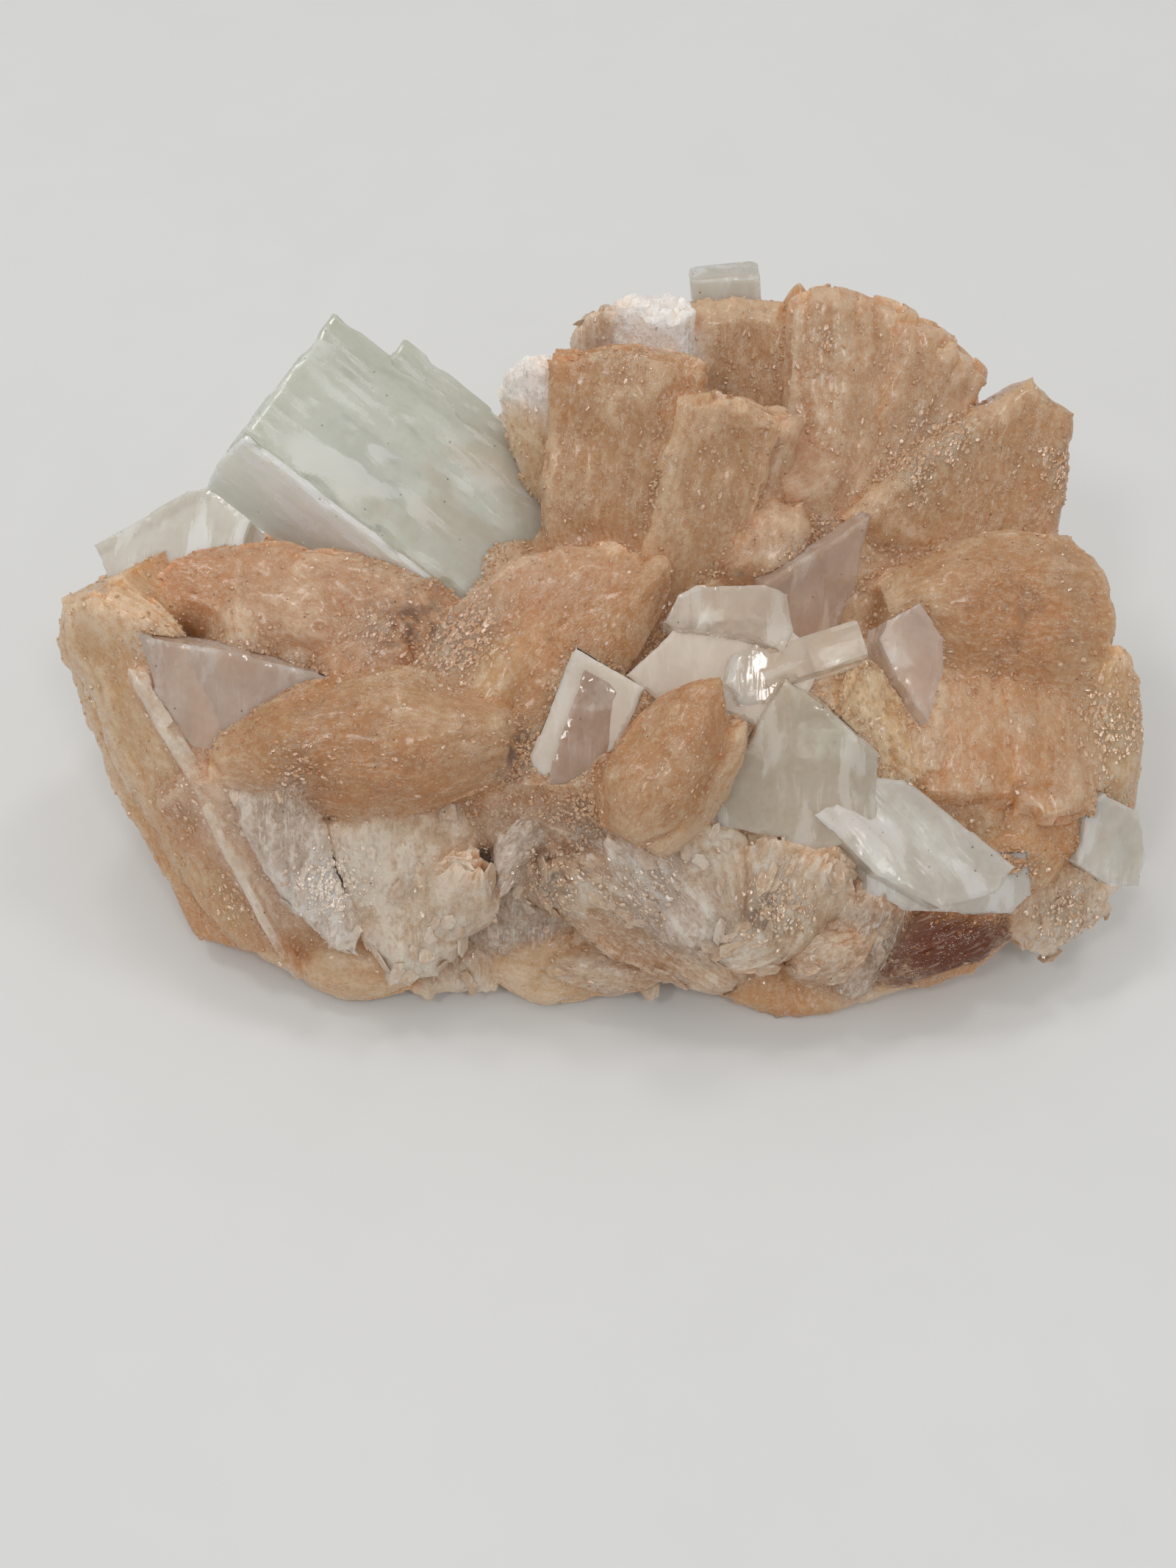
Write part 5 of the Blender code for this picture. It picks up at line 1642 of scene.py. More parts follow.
@dataclass(frozen=True)
class BackWall(Growth):
    """The merged blades of the side that the front hides."""

    pieces: tuple[Blade | Plate, ...] = (
        Blade("back_1", PEACH, FAN, (-28, -4, 4), (-36, 3, 18), (-0.6, 0.7, 0.4), 13.0, 9.0),
        Blade("back_2", TAN, SLAB, (-20, 0, 3), (-25, 8, 19), (-0.3, 0.85, 0.4), 14.0, 9.0),
        Blade("back_3", PEACH, FAN, (-10, 4, 3), (-13, 12.5, 21.5), (-0.1, 0.9, 0.4), 15.0, 10.0),
        Blade("back_4", TAN, SLAB, (-1, 7, 3), (-3, 15.5, 25), (0, 0.9, 0.4), 14.0, 10.0),
        Blade("back_5", PEACH, FAN, (8, 9, 3), (8, 18.5, 27), (0.05, 0.9, 0.4), 15.0, 11.0),
        Blade("back_6", PINK, SLAB, (17, 9, 3), (19, 19.0, 26), (0.1, 0.9, 0.4), 14.0, 11.0),
        Blade("back_7", TAN, FAN, (26, 6, 3), (31, 14.5, 23), (0.4, 0.8, 0.4), 15.0, 10.0),
        Blade("back_8", PEACH, SLAB, (31, 0, 3), (38, 6, 18), (0.75, 0.5, 0.4), 13.0, 9.0),
        Blade("back_9", PINK, FAN, (33, -9, 4), (40, -5.5, 16), (0.9, 0.1, 0.4), 12.0, 9.0),
        Blade("back_low_1", TAN, LENS, (-26, 1.5, 4), (-7, 9, 5), (-0.3, 0.9, 0.2), 11.0, 9.0, 0.0),
        Blade("back_low_2", PINK, LENS, (-7, 9.5, 5), (15, 15.5, 4), (-0.1, 0.95, 0.2), 12.0, 9.0, 0.0),
        Blade("back_low_3", TAN, LENS, (13, 14.5, 5), (32, 7.5, 4), (0.3, 0.9, 0.2), 12.0, 9.0, 0.0),
        Blade("back_top_1", PEACH, SLAB, (-1.5, 8, 20), (-2.0, 12.6, 30.8), (-0.1, 0.8, 0.6), 10.0, 7.0),
        Blade("back_top_2", TAN, FAN, (12, 12, 22), (11, 19.5, 33), (0, 0.8, 0.6), 11.0, 7.0),
        Blade("back_top_3", PEACH, FAN, (24, 11, 20), (26.5, 18.4, 30), (0.2, 0.8, 0.6), 11.0, 7.0),
    )


@dataclass(frozen=True)
class RidgeFoot(Growth):
    """The lower end of the pale ridge down the left wall."""

    pieces: tuple[Blade | Plate, ...] = (
        Blade("ridge_low", RIDGE, SLAB, (-23.4, -24.4, 2.4), (-29.4, -17.0, 16.4), (-0.1, -0.88, 0.46), 1.5, 3.4, 0.0),
    )


LUMPS = (
    Lump((1, -8, 10), (20, 13, 12)),
    Lump((-19, -9, 9), (14, 10.5, 11)),
    Lump((22, -8, 9), (16, 13, 10.5)),
    Lump((9, 5, 14), (17, 10, 13)),
    Lump((-21, -3, 12), (12, 7, 11)),
    Lump((26, 3, 12), (12, 9, 12)),
    Lump((-9, 0, 16), (10, 8, 8.5)),
    Lump((-15, -7, 16), (7, 6, 5)),
    Lump((-16, 4, 11), (9, 7, 9)),
)


CRYSTAL_SHARP_ANGLE = math.radians(20)
PLAIN = Relief(1.0, 0.0, 0.0, 0.0, (1.0, 1.0), 0.0, 0.0, 0.0, 0.0)

# How far the crystals reach into the stilbite, and how plain forms are cut, in design millimetres
CONTACT_DEPTH = 0.05
PLAIN_SPACING = 3.0

# The block that cuts the underside flat, in design millimetres
BASE_SIDE = 120.0
BASE_DEPTH = 20.0
BASE_SPACING = 20.0


def grown(skin: Skin, gap: float) -> Skin:
    """The skin with its surface moved out by gap, or in where gap is negative."""
    form = bmesh.new()
    vertices = [form.verts.new(point) for point in skin.points]
    for face in skin.faces:
        form.faces.new([vertices[corner] for corner in face])
    form.normal_update()
    shifts = [np.array(vertex.normal) * gap * vertex.calc_shell_factor() for vertex in form.verts]
    form.free()
    return Skin(skin.points + np.array(shifts), skin.faces, skin.grain)


def finish_object(name: str, mesh: bpy.types.Mesh, nodes: Sequence[str]) -> bpy.types.Object:
    """Puts a finished mesh into the scene and ties it to the frame.

    Args:
        name: the piece's name.
        mesh: its mesh, in metres.
        nodes: the solids that it stands for, possibly none.

    Returns:
        The object.
    """
    mesh.name = name
    made = bpy.data.objects.new(name, mesh)
    bpy.context.scene.collection.objects.link(made)
    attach(made, "root")
    if nodes:
        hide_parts(*nodes)
    LOG.info("%s: %d faces", name, len(mesh.polygons))
    return made


def give_materials(
    mesh: bpy.types.Mesh, looks: Sequence[Look | Gem], materials: dict[Look | Gem, bpy.types.Material]
) -> None:
    """Gives each face the finish of the piece that it came from.

    Args:
        mesh: a joined mesh, with the number of its piece on each face.
        looks: the look of each piece.
        materials: the finish of each look.
    """
    used = sorted(set(looks), key=lambda look: look.value)
    mesh.materials.clear()
    for look in used:
        mesh.materials.append(materials[look])
    order = np.array([used.index(look) for look in looks], np.int32)
    pieces = np.empty(len(mesh.polygons), np.int32)
    mesh.attributes["piece"].data.foreach_get("value", pieces)
    mesh.polygons.foreach_set("material_index", order[pieces])


# How finely a veil is cut along and across, and how far it bends, in design millimetres
VEIL_CELLS = (9, 5)
VEIL_LIFT = 0.35


def crystal_veils(crystal: Plate | Prism, seed: int) -> list[Skin]:
    """The thin sheets that part a crystal inside, in its own frame.

    Args:
        crystal: the crystal's row.
        seed: its number.

    Returns:
        One open sheet for each parting.
    """
    if isinstance(crystal, Prism):
        half = np.array((crystal.width, crystal.length, crystal.depth)) / 2
        middle = np.array((0.0, -half[1], 0.0))
    else:
        outline = np.array(crystal.outline)
        low, high = outline.min(axis=0), outline.max(axis=0)
        half = np.array((*(high - low) / 2, crystal.thickness / 2))
        middle = np.array((*(high + low) / 2, -half[2]))
    count = int(3 + half.prod() ** 0.5 / 1.6)
    draws = row_random(np.arange(count * 8), seed + 60).reshape(count, 8)
    unit = np.stack(np.meshgrid(*(np.linspace(-1, 1, cells + 1) for cells in VEIL_CELLS), indexing="ij"), -1)
    unit = unit.reshape(-1, 2)
    rows, columns = (cells + 1 for cells in VEIL_CELLS)
    corner = np.arange(rows * columns).reshape(rows, columns)
    quads = np.stack((corner[:-1, :-1], corner[1:, :-1], corner[1:, 1:], corner[:-1, 1:]), -1).reshape(-1, 4)
    sheets = []
    for draw in draws:
        long = half[1] * (0.15 + 0.45 * draw[0])
        wide = min(half[0], half[2]) * (0.15 + 0.45 * draw[1])
        spots = np.zeros((len(unit), 3))
        spots[:, 1], spots[:, 0] = unit[:, 0] * long, unit[:, 1] * wide
        spots[:, 2] = VEIL_LIFT * smooth_noise(spots[:, :2] + draw[2] * 50, 1.8, seed + 61)
        lean = Matrix.Rotation((draw[3] - 0.5) * 1.9, 3, "Y") @ Matrix.Rotation((draw[4] - 0.5) * 0.7, 3, "X")
        away = (draw[5:8] * 2 - 1) * (half * 0.85 - np.array((wide, long, wide)) * 0.8).clip(0)
        grain = spots + draw[2] * 40
        sheets.append(Skin(spots @ np.array(lean).T + middle + away, quads.tolist(), grain))
    return sheets


@dataclass(frozen=True)
class CrystalGroup:
    """Apophyllite crystals that grew into each other."""

    name: str
    crystals: tuple[Plate | Prism, ...]

    def skin_of(self, crystal: Plate | Prism, relief: Relief, spacing: float, seed: int) -> Skin:
        """The skin of one crystal, placed in the cluster."""
        shape = prism_skin if isinstance(crystal, Prism) else plate_skin
        place = crystal_frame(crystal.centre, crystal.face, crystal.up)
        return shape(crystal, relief, spacing, seed).placed(place)

    def sockets(self) -> list[Skin]:
        """Plain forms of the crystals, a touch smaller, that cut their places in the stilbite."""
        plain = [self.skin_of(crystal, PLAIN, PLAIN_SPACING, 0) for crystal in self.crystals]
        return [grown(skin, -CONTACT_DEPTH) for skin in plain]

    def build(
        self, workshop: Workshop, materials: dict[Gem, bpy.types.Material], seed: int
    ) -> bpy.types.Object:
        """Joins the crystals and dresses them.

        Args:
            workshop: where they are joined.
            materials: the finish of each clearness.
            seed: the number of its first crystal.

        Returns:
            The object.
        """
        skins = [
            self.skin_of(crystal, CRYSTAL_FINISHES[crystal.look].relief, CRYSTAL_SPACING, number)
            for number, crystal in enumerate(self.crystals, seed)
        ]
        mesh = workshop.join(skins)
        give_materials(mesh, [crystal.look for crystal in self.crystals], materials)
        mesh.shade_smooth()
        mesh.set_sharp_from_angle(angle=CRYSTAL_SHARP_ANGLE)
        made = finish_object(self.name, mesh, (self.name,))
        made.visible_shadow = False
        return made

    def veils(self, material: bpy.types.Material, seed: int) -> bpy.types.Object:
        """White partings inside the crystals, as thin bent sheets.

        Args:
            material: the finish of the sheets.
            seed: the number of its first crystal.

        Returns:
            The object.
        """
        points, faces, grains = [], [], []
        for number, crystal in enumerate(self.crystals, seed):
            place = crystal_frame(crystal.centre, crystal.face, crystal.up)
            for sheet in crystal_veils(crystal, number):
                placed = sheet.placed(place)
                start = sum(len(block) for block in points)
                faces += [[corner + start for corner in face] for face in placed.faces]
                points.append(placed.points)
                grains.append(placed.grain)
        mesh = bpy.data.meshes.new("veils")
        mesh.from_pydata((np.concatenate(points) * MM).tolist(), [], faces)
        grain = mesh.attributes.new("grain", "FLOAT_VECTOR", "POINT")
        grain.data.foreach_set("vector", np.concatenate(grains).astype(np.float32).ravel())
        mesh.materials.append(material)
        mesh.shade_smooth()
        made = finish_object(f"{self.name}_veils", mesh, ())
        made.visible_shadow = False
        return made


LARGE_AXIS = (-0.776, 0.34, 0.531)
LARGE_FACE = (0.436, -0.319, 0.841)
LARGE_SIDE = (-0.455, -0.884, -0.099)

CRYSTAL_GROUPS = (
    CrystalGroup(
        "apophyllite_large",
        (
            Prism("main", MILKY, (-25.8, 11.1, 31.1), LARGE_FACE, LARGE_AXIS, 13.2, 11.3, 31.0),
            # The thin side piece wears the lighter copy of the milky finish: painted light on this side face
            Prism("side", BRIGHT, (-28.85, 5.15, 30.4), LARGE_SIDE, LARGE_AXIS, 10.6, 0.8, 30.4),
            Prism("step", MILKY, (-19.9, 12.7, 28.7), LARGE_FACE, LARGE_AXIS, 10.4, 10.2, 29.7),
        ),
    ),
    CrystalGroup(
        "apophyllite_rear_left",
        (
            Plate(
                "slab", FROSTED, (-35.0, 2.0, 25.0), (-0.1, -0.45, 0.9), (0.1, 0.85, 0.4),
                ((-4.5, -1), (2.5, 4), (4, 4.5), (8, 2), (7, -3.5), (3, -5), (-3, -3.5), (-3.5, -2.5)),
                4.5,
            ),
        ),
    ),
    CrystalGroup(
        "apophyllite_wedge",
        (
            Plate(
                "wedge", SMOKY, (-27.0, -10.5, 24.5), (0.2, -0.75, 0.62), (0, 0.6, 0.75),
                ((-7, 2.6), (0.5, 0.8), (7.5, -1.4), (5, -5), (0.5, -7.2), (-3.5, -6.2), (-6, -2)),
                3.6,
            ),
        ),
    ),
    CrystalGroup(
        "apophyllite_crest",
        (Prism("block", FROSTED, (10.2, 20.6, 36.0), (0, -0.93, 0.35), (-0.1, 0.35, 0.93), 5.4, 3.5, 8.0),),
    ),
    CrystalGroup(
        "apophyllite_left_block",
        (
            Plate(
                "rim", SUGARED, (-0.6, -13.9, 22.5), (-0.08, -0.62, 0.78), (0, 0.8, 0.6),
                ((-1.0, 5.3), (4.2, 2.1), (3.5, 0.3), (1.0, -5.1), (-1.5, -5.8), (-4.2, -5.1), (-4.4, -2.9)),
                4.0,
            ),
            Plate(
                "block", DUSKY, (-0.6, -14.1, 22.8), (0.12, -0.64, 0.76), (0, 0.8, 0.6),
                ((-0.3, 3.5), (3.9, 1.3), (2.7, -1.4), (1.1, -5.0), (-2.9, -5.2), (-2.6, -3.2)),
                4.0,
            ),
        ),
    ),
    CrystalGroup(
        "apophyllite_centre_group",
        (
            Plate(
                "crown", CLEAR, (9.5, -9.0, 26.6), (-0.05, -0.5, 0.85), (0, 0.8, 0.5),
                (
                    (-4.6, 0.6), (-3.4, 2.8), (-2, 3.5), (3, 3.5), (4.8, 2.8), (5.2, 0), (4.4, -1.6), (1.0, -0.4),
                    (-2.8, 0),
                ),
                5.0,
            ),
            Plate(
                "middle", SUGARED, (9.8, -10.0, 23.1), (0, -0.6, 0.8), (0, 0.8, 0.6),
                (
                    (-7.6, -0.4), (-4.9, 2.2), (-3.6, 3.8), (4.4, 3.8), (6.2, 2.0), (7.1, 0), (5.8, -3.0),
                    (2.3, -4.2), (-1.3, -2.8), (-4.5, -2.8),
                ),
                5.0,
            ),
            Plate(
                "round", CLEAR, (11.7, -11.4, 24.3), (0.1, -0.6, 0.8), (0, 0.8, 0.6),
                ((-2.1, -0.6), (-1.6, 1.4), (0.2, 2.4), (1.8, 1.6), (2.3, -0.4), (1.2, -2.2), (-0.8, -2.4)),
                4.0,
            ),
            Plate(
                "fin", DUSKY, (17.5, -2.5, 26.0), (0.35, -0.75, 0.55), (0.1, 0.6, 0.8),
                ((-5, -1), (-1, 1.5), (3.5, 4.5), (3, -1), (2, -4.5), (-1.5, -6), (-5, -4)),
                1.8,
            ),
            Prism("arm", CLEAR, (20.2, -8.2, 24.4), (-0.1, -0.5, 0.86), (0.93, 0.3, 0.05), 3.0, 4.5, 8.0),
            Plate(
                "slope", SAGE, (15.0, -16.6, 20.9), (-0.05, -0.72, 0.7), (0, 0.7, 0.7),
                ((-1, 6), (2.5, 3.5), (6, 0.5), (6, -6), (1.5, -7), (-4, -5.5), (-8, -5), (-4, 0.5)),
                8.0,
            ),
            Plate(
                "small_right", SMOKY, (23.5, -10.8, 25.2), (0.15, -0.5, 0.85), (0.05, 0.8, 0.5),
                ((-2.5, 1.5), (-2, 3), (0.5, 4.5), (2.5, 2), (2.5, -1), (1.5, -4.5), (-1, -1.5)),
                5.0,
            ),
            Plate(
                "front_slab", FROSTED, (24.0, -20.5, 17.0), (0.1, -0.5, 0.85), (-0.6, 0.6, 0.3),
                ((-5, 6), (0, 5.5), (2, 3.5), (3, -1.5), (4, -7), (1.5, -7.5), (-2.5, -5.5), (-4.5, -0.5)),
                5.0,
            ),
            Plate(
                "broken_base", FROSTED, (27.0, -22.6, 12.0), (0.1, -0.75, 0.65), (0, 0.7, 0.7),
                ((-6.5, 3), (6, 3), (6.5, -0.5), (5, -2), (2, -2), (-3.5, -1.5), (-6.5, 0)),
                6.0,
            ),
            Plate(
                "companion", SAGE, (17.5, -18.8, 14.5), (0.0, -0.6, 0.8), (-0.6, 0.6, 0.3),
                ((-1, 4), (2.5, 4), (5, 0.5), (5, -6.5), (0.5, -9), (-0.5, -5)),
                5.0,
            ),
        ),
    ),
    CrystalGroup(
        "apophyllite_right_edge",
        (
            Plate(
                "block", FROSTED, (39.5, -19.0, 13.0), (0.3, -0.7, 0.65), (0, 0.7, 0.7),
                ((-2, 3.5), (-0.5, 4), (2.5, 2.5), (3.5, -1), (3, -3.5), (0.5, -3.5), (-2.5, -1.5)),
                6.0,
            ),
        ),
    ),
)


# How creases between pieces are filled: how often, how far the surface is relaxed to find them,
# the share that is filled, and from which depth to which in design millimetres
SEAM_PASSES = 3
SEAM_ROUNDS = 30
SEAM_FILL = 0.9
BROKEN_SEAM_FILL = 0.28
SEAM_DEPTHS = (0.04, 0.22)
BROKEN_LOOKS = (PALE, SILVER, PEARL)

# How far colours, and the band round the sockets, run over the mesh, in rounds of spreading
COLOUR_ROUNDS = 12
RIM_ROUNDS = 8

# Fine and broad relief: the rounds that find it, and the depth and the height that count in full
FINE_ROUNDS, BROAD_ROUNDS = 6, 60
FINE_DEPTH, BROAD_DEPTH = 0.12, 0.5
FINE_HEIGHT, BROAD_HEIGHT = 0.10, 0.35

# How steeply a stain or a zone fades from its middle
FADE = 1.5


@dataclass
class StilbiteMass:
    """Everything of stilbite: one body that lumps, blades and plates grew into."""

    workshop: Workshop
    materials: dict[Look, bpy.types.Material]
    growths: tuple[Growth, ...] = (
        RearSlabs(), RightSheaves(), CentreSheaves(), LeftWall(), BrokenFront(), BackWall(spacing=BACK_SPACING),
        RidgeFoot(),
    )
    mesh: bpy.types.Mesh = field(init=False)
    looks: list[Look] = field(init=False)
    surface: Surface = field(init=False)
    warmth: np.ndarray = field(init=False)
    soil: np.ndarray = field(init=False)
    hollow: np.ndarray = field(init=False)
    rim: np.ndarray = field(init=False)
    colours: dict[str, np.ndarray] = field(init=False, default_factory=dict)

    def __post_init__(self) -> None:
        """Lists the look of every piece, in the order in which they are joined."""
        rows = [piece for growth in self.growths for piece in growth.pieces]
        self.looks = [CORE] * len(LUMPS) + [piece.look for piece in rows] + [CORE]

    def build(self, sockets: Sequence[Skin]) -> bpy.types.Object:
        """Joins the growth, cuts the sockets and the flat underside, and dresses the body.

        Args:
            sockets: the forms of the crystals that stand in it.

        Returns:
            The object.
        """
        core = STILBITE_FINISHES[CORE].relief
        skins = [
            lump_skin(lump, core, seed).placed(Matrix.Translation(lump.centre)) for seed, lump in enumerate(LUMPS)
        ]
        number = 0
        for growth in self.growths:
            skins += growth.skins(number)
            number += len(growth.pieces)
        end = (0, BASE_SIDE / 2, -BASE_DEPTH / 2)
        base = Prism("base", CORE, end, (0, 0, 1), (0, 1, 0), BASE_SIDE, BASE_DEPTH, BASE_SIDE)
        block = prism_skin(base, PLAIN, BASE_SPACING, 0).placed(crystal_frame(base.centre, base.face, base.up))
        self.mesh = self.workshop.join(skins, [*sockets, block], one_body=True)
        self.dress()
        return finish_object("stilbite", self.mesh, ("stilbite_mass",))

    def dress(self) -> None:
        """Gives each face its look, and writes what the finishes read at each point."""
        surface = Surface(self.mesh)
        fine, broad = surface.standing(FINE_ROUNDS), surface.standing(BROAD_ROUNDS)
        surface = self.merge_seams(surface)
        give_materials(self.mesh, self.looks, self.materials)
        self.recolour(surface)
        owner = np.zeros(len(surface.spots), int)
        owner[surface.triangles.ravel()] = np.repeat(surface.pieces, 3)
        self.write_colours(surface)
        warmth = 0.55 * (row_random(owner, 41) - 0.5) + 0.35 * smooth_noise(surface.spots, 9.0, 42)
        soil = np.zeros(len(surface.spots))
        for stain in STAINS:
            reach = np.linalg.norm(surface.spots - np.array(stain.centre), axis=1) / stain.radius
            share = np.exp(-(reach**2) * FADE)
            warmth += stain.warmth * share
            soil += stain.soil * share
        # The finishes darken the hollows as painted shade and lighten the crests as painted light
        hollow = 0.65 * np.clip(-broad / BROAD_DEPTH, 0, 1) + 0.35 * np.clip(-fine / FINE_DEPTH, 0, 1)
        crest = 0.6 * np.clip(fine / FINE_HEIGHT, 0, 1) + 0.4 * np.clip(broad / BROAD_HEIGHT, 0, 1)
        surface.write("warmth", warmth)
        surface.write("hollow", hollow)
        surface.write("crest", crest)
        # A little of the brown film follows the hollows: painted shade
        surface.write("soil", soil + 0.05 * hollow)
        self.surface, self.warmth, self.hollow, self.soil = surface, warmth, hollow, soil
        rim = np.zeros((len(surface.spots), 1))
        rim[surface.triangles[surface.pieces < 0]] = 1.0
        self.rim = surface.spread(rim, RIM_ROUNDS).ravel()
        self.mesh.shade_smooth()
        self.mesh.set_sharp_from_angle(angle=SHARP_ANGLE)

    def merge_seams(self, surface: Surface) -> Surface:
        """Fills the creases between the pieces, but not in the crystals' sockets.

        Args:
            surface: the joined mesh.

        Returns:
            The mesh as it is afterwards.
        """
        fill = np.full(len(surface.spots), SEAM_FILL)
        looks = np.array([look.value for look in self.looks])[surface.pieces]
        broken = np.isin(looks, [look.value for look in BROKEN_LOOKS])
        fill[surface.triangles[broken]] = BROKEN_SEAM_FILL
        fill[surface.triangles[surface.pieces < 0]] = 0
        for _ in range(SEAM_PASSES):
            toward = surface.spread(surface.spots, SEAM_ROUNDS) - surface.spots
            rise = (toward * surface.normals).sum(axis=1)
            share = fill * np.clip((rise - SEAM_DEPTHS[0]) / (SEAM_DEPTHS[1] - SEAM_DEPTHS[0]), 0, 1)
            spots = surface.spots + toward * share[:, None]
            self.mesh.vertices.foreach_set("co", (spots * MM).astype(np.float32).ravel())
            self.mesh.update()
            surface = Surface(self.mesh)
        return surface

    def write_colours(self, surface: Surface) -> None:
        """Writes each look's three colours on its faces, run together where looks meet."""
        index = material_numbers(self.mesh)
        used = sorted(set(self.looks), key=lambda look: look.value)
        for name in COLOUR_NAMES:
            choice = np.array([getattr(STILBITE_FINISHES[look], name) for look in used])
            colours = np.zeros((len(surface.spots), 3))
            colours[surface.triangles.ravel()] = np.repeat(choice[index], 3, axis=0)
            self.colours[name] = surface.spread(colours, COLOUR_ROUNDS)
            surface.write(name, self.colours[name])

    def recolour(self, surface: Surface) -> None:
        """Gives the faces within each patch its look, with an uneven border."""
        middles = surface.spots[surface.triangles].mean(axis=1)
        index = material_numbers(self.mesh)
        places = [material.name for material in self.mesh.materials]
        border = 1 + 0.3 * smooth_noise(middles, 2.0, 70) + 0.15 * smooth_noise(middles, 0.6, 71)
        for patch in PATCHES:
            inside = np.linalg.norm(middles - np.array(patch.centre), axis=1) < patch.radius * border
            index[inside] = places.index(self.materials[patch.look].name)
        self.mesh.polygons.foreach_set("material_index", index)


@dataclass(frozen=True)
class Zone:
    """A soft round stretch where small crystals stand closer. Sizes in design millimetres."""

    centre: Point
    radius: float
    amount: float


@dataclass(frozen=True)
class Crust:
    """Many small crystals of one kind on the stilbite. Sizes in design millimetres.

    hosts are the looks that they stand on. plenty, seams and zones say how close they stand:
    everywhere, in the creases between pieces, and in the named stretches, and rims how close
    they stand round the apophyllite. lean is how far they tip, twist how far they turn from
    the grain, sink the share that is buried, and own_colour how far they leave the colour of
    what they stand on. facing is the place that their ends look at where they all lie alike.
    """

    name: str
    look: Look
    hosts: tuple[Look, ...]
    count: int
    length: tuple[float, float]
    slimness: float
    height: float
    sides: int
    lean: float
    twist: float
    plenty: float
    seams: float
    zones: tuple[Zone, ...] = ()
    sink: float = 0.35
    own_colour: float = 0.5
    rims: float = 0.0
    facing: Point | None = None

    def build(self, mass: StilbiteMass, seed: int) -> bpy.types.Object:
        """Scatters the crystals over the mass.

        Args:
            mass: the dressed stilbite.
            seed: which scatter.

        Returns:
            The object.
        """
        surface = mass.surface
        draws = np.random.default_rng(seed)
        corners = surface.spots[surface.triangles]
        first, second = corners[:, 1] - corners[:, 0], corners[:, 2] - corners[:, 0]
        normal = np.cross(first, second)
        area = np.linalg.norm(normal, axis=1)
        picked = draws.choice(len(area), self.count, p=self.chances(mass, corners.mean(axis=1), area))
        share = draws.dirichlet((1, 1, 1), self.count)
        spots = (corners[picked] * share[:, :, None]).sum(axis=1)

        first, second, normal, area = first[picked], second[picked], normal[picked], area[picked, None]
        rise = surface.grain[picked, :, 1]
        along = (rise[:, 1:2] - rise[:, :1]) * np.cross(second, normal)
        along += (rise[:, 2:] - rise[:, :1]) * np.cross(normal, first)
        normal = normal / area
        across = unit_rows(np.cross(along + 1e-9, normal) + 1e-9)
        along = np.cross(normal, across)
        turn = draws.normal(0, self.twist, (self.count, 1))
        across, along = across * np.cos(turn) + along * np.sin(turn), along * np.cos(turn) - across * np.sin(turn)
        looks = normal if self.facing is None else unit_rows(np.array(self.facing) - spots)
        outward = unit_rows(looks + draws.normal(0, self.lean, (self.count, 3)))
        along = unit_rows(along - outward * (along * outward).sum(axis=1, keepdims=True))
        across = np.cross(along, outward)

        length = draws.uniform(*self.length, (self.count, 1)) * draws.uniform(0.6, 1.0, (self.count, 1))
        sizes = np.hstack((length * self.slimness, length, np.full_like(length, self.height)))
        sizes *= draws.uniform(0.7, 1.3, sizes.shape)
        form = self.form(draws) * sizes[:, None]
        form[:, :, 2] += sizes[:, 2:] * (0.5 - self.sink)
        turned = np.einsum("nka,nab->nkb", form, np.stack((across, along, outward), axis=1))
        points = turned + spots[:, None]
        points[:, :, 2] = points[:, :, 2].clip(0)
        return self.finish(mass, points, form, surface.triangles[picked, 0], draws)

    def chances(self, mass: StilbiteMass, middles: np.ndarray, area: np.ndarray) -> np.ndarray:
        """How likely each face is to carry the next crystal."""
        names = [material.name for material in mass.mesh.materials]
        allowed = np.isin(material_numbers(mass.mesh), [names.index(mass.materials[look].name) for look in self.hosts])
        weight = self.plenty + self.seams * mass.hollow[mass.surface.triangles].mean(axis=1) ** 2
        weight = weight + self.rims * mass.rim[mass.surface.triangles].mean(axis=1)
        for zone in self.zones:
            reach = np.linalg.norm(middles - np.array(zone.centre), axis=1) / zone.radius
            weight = weight + zone.amount * np.exp(-(reach**2) * FADE)
        weight = weight * area * allowed * (mass.surface.pieces >= 0) * (middles[:, 2] > CRUST_FOOT)
        return weight / weight.sum()

    def form(self, draws: np.random.Generator) -> np.ndarray:
        """The corners of each crystal, foot ring and end ring, from -0.5 to 0.5 each way."""
        angle = (np.arange(self.sides) + 0.5) / self.sides * math.tau
        ring = np.stack((np.cos(angle), np.sin(angle)), 1)
        ring /= np.abs(ring).max(axis=0) * 2
        jitter = draws.uniform(0.75, 1.15, (self.count, 2, self.sides, 1))
        flat = ring * jitter * np.array((1.0, 0.72))[:, None, None]
        height = np.broadcast_to(np.array((-0.5, 0.5))[:, None, None], (*flat.shape[:3], 1)).copy()
        height[:, 1] += draws.normal(0, 0.07, (self.count, self.sides, 1))
        return np.concatenate((flat, height), axis=3).reshape(self.count, 2 * self.sides, 3)

